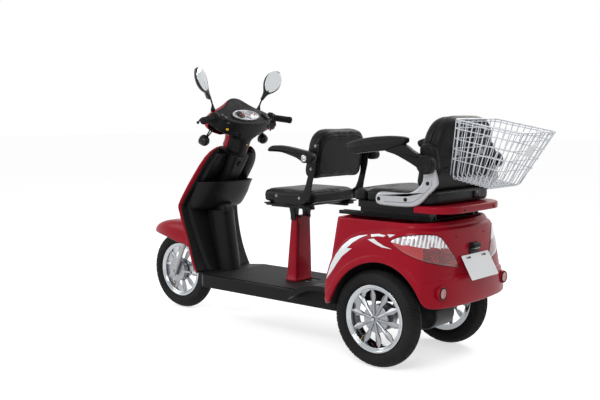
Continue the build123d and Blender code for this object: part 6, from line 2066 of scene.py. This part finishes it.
def mirror(side, name):
    tip = steer_at(62, side * 186, 994)
    head = steer_at(97, side * 270, 1102)
    along = (head - tip).normalized()
    back = Vector((-cos(MIRROR_TURN), -side * sin(MIRROR_TURN), 0.12))
    back = (back - along * back.dot(along)).normalized()
    across = back.cross(along)
    half = [Vector((u, v)) for u, v in MIRROR_HEAD]
    outline = half + [Vector((p.x, -p.y)) for p in reversed(half[1:-1])]
    outline = flowing(outline, 4)
    place = on_plane(tip, along, across, back)
    shell = layered_mesh(
        outline, [(9, -18), (5, -15), (1.5, -9), (0, -2), (0, 2.2), (1.2, 3.2), (2.6, 3.4)], place
    )
    piece("mirror_head_" + name, *shell, "black_gloss", "steering", "mirror_" + name)
    oval_points = [(cos(2 * pi * k / 64), sin(2 * pi * k / 64)) for k in range(64)]
    glass_outline = [
        Vector((PANE_MIDDLE + PANE_LONG * c, PANE_WIDE * s * (1 + PANE_TAPER * c))) for c, s in oval_points
    ]
    pane = layered_mesh(glass_outline, [(0, 0), (0, 3.6), (0.8, 4)], place)
    piece("mirror_pane_" + name, *pane, "mirror", "steering")
    low = steer_at(43, side * 164, 940)
    stem = smooth_line(
        [low, steer_at(50, side * 170, 962), steer_at(58, side * 180, 984), tip + along * 0.012], 5
    )
    boot = lathe_mesh(
        [(-0.004, 0.012), (0.006, 0.0115), (0.014, 0.009), (0.022, 0.0062), (0.030, 0.0052), (0.0305, 0)],
        low, stem[3] - low, 24
    )
    piece("mirror_stem_" + name, *join([tube_mesh(stem, 0.0042, 12), boot]), "black_metal", "steering")


# Headlamp under the cowl's nose
def headlamp():
    outline = [(62 * cos(2 * pi * k / 64) * 1.05, 37 * sin(2 * pi * k / 64)) for k in range(64)]
    centre = steer_at(88, 0, 834)
    place = on_plane(centre, Vector((0, 1, 0)), STEER_UP, STEER_AHEAD)
    layered(
        "headlamp_bowl", outline, [(8, -20), (0, -8), (0, 6), (3, 9), (5, 8)], place, "alloy", "steering",
        "headlamp"
    )
    layered(
        "headlamp_lens", outline, [(5, 6), (4, 11), (9, 17), (18, 21), (30, 23)], place, "clear_dull",
        "steering"
    )


def cockpit():
    rear = cowl_shell("cowl_shell_rear", False, "black_plastic", "cowl_rear")
    cowl_shell("cowl_shell_front", True, "red_paint", "cowl_front")
    dash()
    dial()
    cowl_keys(tree_of(rear))
    sides(hand_grip)
    right_pod()
    sides(turn_lamp)
    sides(mirror)
    headlamp()


cockpit()


# Front seat carrier: side brackets, pan, slides and the two flat legs under it
SEAT_PLATE = (
    (655, 684), (505, 689), (477, 705), (464, 733), (449, 784), (448, 838), (443, 884), (424, 920),
    (403, 929), (388, 917), (392, 890), (405, 856), (407, 823), (419, 773), (428, 735), (433, 701),
    (447, 673), (471, 650), (504, 644), (655, 644),
)
SEAT_PLATE_Y = 194
SEAT_PLATE_THICK = 6
FRONT_ARM_PIN = (431, 862)
SEAT_BOLTS = ((639, 678), (500, 675), (431, 811), (405, 915))
SEAT_LEG = ((24, 630), (72, 630), (69, 611), (59, 576), (58, 548), (31, 548), (30, 576), (26, 611))
LEG_BACK, LEG_FRONT = 646, 676
# Slides and straps under the cushion on each side: middle, then size in metres
SEAT_STRAPS = (
    ((600, 150, 633), (0.270, 0.034, 0.014)), ((600, 128, 624), (0.250, 0.022, 0.012)),
    ((490, 168, 640), (0.040, 0.058, 0.006)), ((700, 168, 640), (0.040, 0.058, 0.006)),
)
SEAT_PAN = (488, 730, 160)


def seat_bracket(side):
    outline = round_corners([Vector(p) for p in SEAT_PLATE], 7, 3)
    layers = [(1.4, 0), (0, 1.2), (0, SEAT_PLATE_THICK - 1.2), (1.4, SEAT_PLATE_THICK)]
    plate = layered_mesh(outline, layers, from_side(SEAT_PLATE_Y, side))
    collar = [(-0.004, 0), (-0.004, 0.011), (-0.003, 0.012), (0.0185, 0.012), (0.0195, 0.011), (0.0195, 0)]
    pin = at(FRONT_ARM_PIN[0], side * (SEAT_PLATE_Y + SEAT_PLATE_THICK), FRONT_ARM_PIN[1])
    return [plate, lathe_mesh(collar, pin, (0, side, 0), 32)]


def seat_carrier():
    parts = []
    for side in (1, -1):
        parts += seat_bracket(side)
        parts += [box_mesh(at(x, side * y, z), size) for (x, y, z), size in SEAT_STRAPS]
    pan = plan_rectangle(*SEAT_PAN, 26, 5)
    parts.append(layered_mesh(pan, [(6, 634), (0, 637), (0, 645), (3, 647.5)], on_plan))
    made = piece("front_seat_carrier", *join(parts), "black_metal", "chassis", "front_seat_frame")
    bevel(made, 0.0012, 40)
    outer = SEAT_PLATE_Y + SEAT_PLATE_THICK
    bolts = []
    for side in (1, -1):
        bolts += [hex_bolt(at(x, side * outer, z), (0, side, 0), 0.0050, 0.0045) for x, z in SEAT_BOLTS]
    piece("front_seat_bolts", *join(bolts), "dull_metal", "chassis", smooth=False)


def seat_legs():
    parts = []
    for side in (1, -1):
        outline = round_corners([Vector((side * y, z)) for y, z in SEAT_LEG], 5, 3)
        place = lambda u, v, height: at(height, u, v)
        layers = [(1.5, LEG_BACK), (0, LEG_BACK + 1.5), (0, LEG_FRONT - 1.5), (1.5, LEG_FRONT)]
        parts.append(layered_mesh(outline, layers, place))
    parts.append(box_mesh(at(661, 0, 629), (0.110, 0.200, 0.009)))
    parts.append(box_mesh(at(661, 0, 556), (0.034, 0.076, 0.012)))
    made = piece("front_seat_legs", *join(parts), "black_metal", "chassis", "seat_column")
    bevel(made, 0.0012, 40)


seat_carrier()
seat_legs()


# Front seat post: a tapering red column. Columns: height, rear face, front face, half width
POST_TOP = 568
POST_LOW = round(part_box("front_seat_post")[0][2] / MM)
POST_STATIONS = (
    (POST_LOW, 635, 706, 66), (POST_LOW + 7, 636, 705, 65.5), (POST_LOW + 12, 638, 701, 62),
    (320, 638, 698, 60), (400, 638.5, 693, 57), (480, 639.5, 688, 53.5), (556, 640, 683, 50.5),
    (562, 638, 685, 52), (566.5, 638, 685, 52), (POST_TOP, 640, 683, 50),
)


def seat_post():
    vertices, count = [], 0
    for height, back, front, half in POST_STATIONS:
        outline = round_corners(
            [Vector(p) for p in ((back, -half), (front, -half), (front, half), (back, half))], (9, 16, 16, 9),
            5
        )
        count = len(outline)
        vertices += [at(p.x, p.y, height) for p in outline]
    faces = capped(len(POST_STATIONS), count)
    post = piece("front_seat_post_skin", vertices, faces, "red_paint", "chassis", "front_seat_post")
    bevel(post, 0.0010, 50)
    clips = [box_mesh(at(639, side * 33, 566), (0.012, 0.022, 0.012)) for side in (1, -1)]
    seam = [
        at(637.2 if z < 300 else 638.4, 46 - (z - 260) * 0.035, z)
        for z in range(int(POST_LOW) + 14, 552, 24)
    ]
    clips.append(tube_mesh(seam, 0.0016, 8))
    made = piece("front_seat_post_clips", *join(clips), "black_plastic", "chassis")
    bevel(made, 0.0012, 40)


seat_post()


# Leg shield. Columns: height, black edge (ahead, half width), red edge (the same), front of the red shell
SHIELD = (
    (246, 1186, 193, 1188, 195, 1212), (300, 1212, 190, 1219, 196, 1230), (350, 1230, 187, 1237, 193, 1249),
    (400, 1248, 188, 1253, 193, 1268), (450, 1262, 191, 1269, 197, 1306), (500, 1276, 195, 1284, 203, 1347),
    (550, 1287, 199, 1295, 208, 1373), (578, 1287, 203, 1297, 215, 1375), (600, 1276, 206, 1287, 219, 1371),
    (650, 1244, 199, 1257, 214, 1347), (700, 1210, 192, 1225, 209, 1321), (750, 1173, 190, 1188, 206, 1292),
    (800, 1139, 184, 1152, 200, 1256), (840, 1118, 171, 1130, 183, 1224), (866, 1107, 150, 1118, 160, 1203),
    (880, 1101, 126, 1111, 135, 1192), (886, 1099, 112, 1108, 120, 1187),
)
PANEL_STEP = 22
FOLDS = ((246, 118), (415, 140), (595, 170), (700, 164), (800, 156), (850, 134), (886, 92))
FRONT_POWER = 2.2
# Openings of the inner shield (half width, lower edge): for the stem cover, and for the neck that turns
STEM_OPENING = ((58, 722), (114, 856))


def shield_stations():
    """The shield's rows in fine steps, with their corners averaged out."""
    fine = in_steps(SHIELD, 4)
    for _ in range(3):
        inner = []
        for a, b, c in zip(fine, fine[1:], fine[2:]):
            inner.append([b[0]] + [(p + 2 * q + r) / 4 for p, q, r in zip(a[1:], b[1:], c[1:])])
        fine = [fine[0]] + inner + [fine[-1]]
    return fine


def mirrored(row):
    """A row of points from edge to edge, given its left half from the edge to the middle."""
    return row + [Vector((p.x, -p.y, p.z)) for p in reversed(row[:-1])]


def inner_shield():
    rows = []
    for z, x, half, _, _, _ in shield_stations():
        fold = between(FOLDS, z)
        line = [
            (x + 9, half - 1.5), (x + 2.5, half), (x, half - 2.0), (x - 0.5, half - 8),
            (x - 1.5, (half + fold) / 2 + 2), (x - 2, fold + 4), (x - 3.5, fold + 1)
        ]
        line += [
            (x - PANEL_STEP + 3, fold - 4), (x - PANEL_STEP, fold - 8), (x - PANEL_STEP - 0.5, fold - 16),
            (x - PANEL_STEP - 1, 60), (x - PANEL_STEP - 1, 30), (x - PANEL_STEP - 1, 0)
        ]
        rows.append([at(p.x, p.y, p.z) for p in mirrored([Vector((ahead, y, z)) for ahead, y in line])])
    vertices = [p for row in rows for p in row]
    inside = [any(abs(p.y) < half * MM and p.z > low * MM for half, low in STEM_OPENING) for p in vertices]
    faces = [face for face in grid_faces(len(rows), len(rows[0])) if not any(inside[k] for k in face)]
    made = piece("leg_shield_inner_skin", vertices, faces, "black_plastic", "chassis", "leg_shield_inner")
    drop_loose(made)
    thickened(made, 0.003)
    smooth_faces(made)
    return made


def outer_shield():
    rows = []
    for z, x_black, half_black, x_red, half, front in shield_stations():
        line = [
            (x_black + 5, half_black - 12), (x_black + 4, half_black - 3), (x_red - 1.5, half - 3),
            (x_red + 1, half), (x_red + 5, half + 0.8)
        ]
        for share in (0.97, 0.92, 0.85, 0.76, 0.66, 0.55, 0.42, 0.28, 0.14, 0.0):
            line.append((x_red + 5 + (front - x_red - 5) * (1 - share ** FRONT_POWER), half * share))
        rows.append([at(p.x, p.y, p.z) for p in mirrored([Vector((ahead, y, z)) for ahead, y in line])])
    count = len(rows[0])
    made = piece(
        "leg_shield_front_skin", [p for row in rows for p in row], grid_faces(len(rows), count), "red_paint",
        "chassis", "leg_shield_front"
    )
    thickened(made, 0.0028)
    smooth_faces(made)
    return made


SHIELD_SCREWS = (838, 556, 430, 330)

# Knee box. Columns: height, side face, half width, reach to the rear
KNEE_BOX = (
    (563, 1262, 158, 34), (566, 1262, 165, 52), (574, 1259, 172, 72), (590, 1253, 178, 84),
    (615, 1242, 182, 92), (645, 1228, 184, 99), (680, 1213, 181, 104), (702, 1203, 180, 107),
    (709, 1200, 182, 110), (712, 1199, 181, 109), (712.5, 1199, 177, 104), (710, 1200, 174, 101),
    (700, 1204, 173, 99), (681, 1213, 172, 97),
)
KNEE_POWER = 0.8


def knee_box():
    columns = []
    for z, side_x, half, reach in KNEE_BOX:
        ring = []
        for k in range(37):
            angle = pi * k / 36
            c, s = cos(angle), sin(angle)
            ring.append(at(side_x - reach * abs(s) ** KNEE_POWER, half * bent(c, KNEE_POWER), z))
        columns.append(ring)
    count = len(columns[0])
    faces = capped(len(columns), count, closed=False)
    made = piece(
        "knee_box_skin", [p for ring in columns for p in ring], faces, "black_plastic", "chassis", "knee_box"
    )
    bevel(made, 0.001, 60)


# Upper end of the column cover, mostly behind the knee box. Columns: height, rear face, half width
COLUMN_TOP = ((540, 1143, 47), (556, 1146, 47), (575, 1152, 47), (592, 1160, 46))


def column_top():
    rows = []
    for z, rear, half in COLUMN_TOP:
        outline = round_corners(
            [Vector(p) for p in ((1262, -half), (rear, -half * 0.86), (rear, half * 0.86), (1262, half))],
            (0, 26, 26, 0), 6
        )
        rows.append([at(p.x, p.y, z) for p in outline])
    count = len(rows[0])
    faces = capped(len(rows), count)
    piece("column_cover_top", [p for row in rows for p in row], faces, "black_plastic", "chassis")


def shield_screws(tree):
    spots = []
    for side in (1, -1):
        for z in SHIELD_SCREWS:
            half = between([(row[0], row[2]) for row in SHIELD], z)
            fold = between(FOLDS, z)
            spots.append(on_skin(tree, at(1000, side * (half + fold) / 2, z), Vector((1, 0, 0)), 0.0))
    screws("leg_shield_screws", spots, (-1, 0, 0), 0.0055, 0.002, "black_gloss", "chassis")


inner_skin = inner_shield()
outer_shield()
knee_box()
column_top()
shield_screws(tree_of(inner_skin))

# Front mudguard. Columns: ahead, top, half width, lower edge
MUDGUARD = (
    (1719, 403, 3, 401), (1712, 410, 12, 402), (1690, 424, 34, 403), (1665, 442, 50, 402),
    (1640, 456, 62, 400), (1600, 469, 75, 396), (1560, 477, 84, 391), (1521, 480, 88, 385),
    (1480, 481, 90, 374), (1455, 480, 90, 368), (1410, 474, 90, 364), (1380, 464, 90, 357),
    (1352, 446, 89, 352), (1330, 420, 87, 350), (1319, 400, 85, 350),
)
MUDGUARD_SIDES = 24
# Powers that square its section off, across and upward
MUDGUARD_ACROSS, MUDGUARD_UP = 0.42, 0.62


def mudguard():
    rows = []
    for x, top, half, low in MUDGUARD:
        row = []
        for k in range(MUDGUARD_SIDES + 1):
            angle = pi * k / MUDGUARD_SIDES
            c, s = cos(angle), sin(angle)
            row.append(at(x, half * bent(c, MUDGUARD_ACROSS), low + (top - low) * abs(s) ** MUDGUARD_UP))
        rows.append(row)
    made = piece(
        "front_mudguard_skin", [p for row in rows for p in row], grid_faces(len(rows), MUDGUARD_SIDES + 1),
        "red_paint", "steering", "front_mudguard"
    )
    thickened(made, 0.0028)
    subdivided(made)
    smooth_faces(made)


mudguard()


# Solids whose shape is right keep it and get a better material
NODE_LOOKS = {
    "dull_metal": ("rear_axle", "rear_shocks"),
    "black_metal": ("drive_motor", "main_frame", "rear_seat_rails", "rear_seat_frame", "handlebar"),
    "black_plastic": ("battery_block", "floorboard", "foot_steps", "column_cover", "stem_cover"),
    "liner": ("rear_arch_liners",),
    "mat": ("floor_mat",),
    "silver": ("fork",),
    "alloy": ("front_brake",),
}


def dress_solids():
    for look, names in NODE_LOOKS.items():
        for name in names:
            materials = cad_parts[name].data.materials
            materials.clear()
            materials.append(LOOKS[look])


dress_solids()
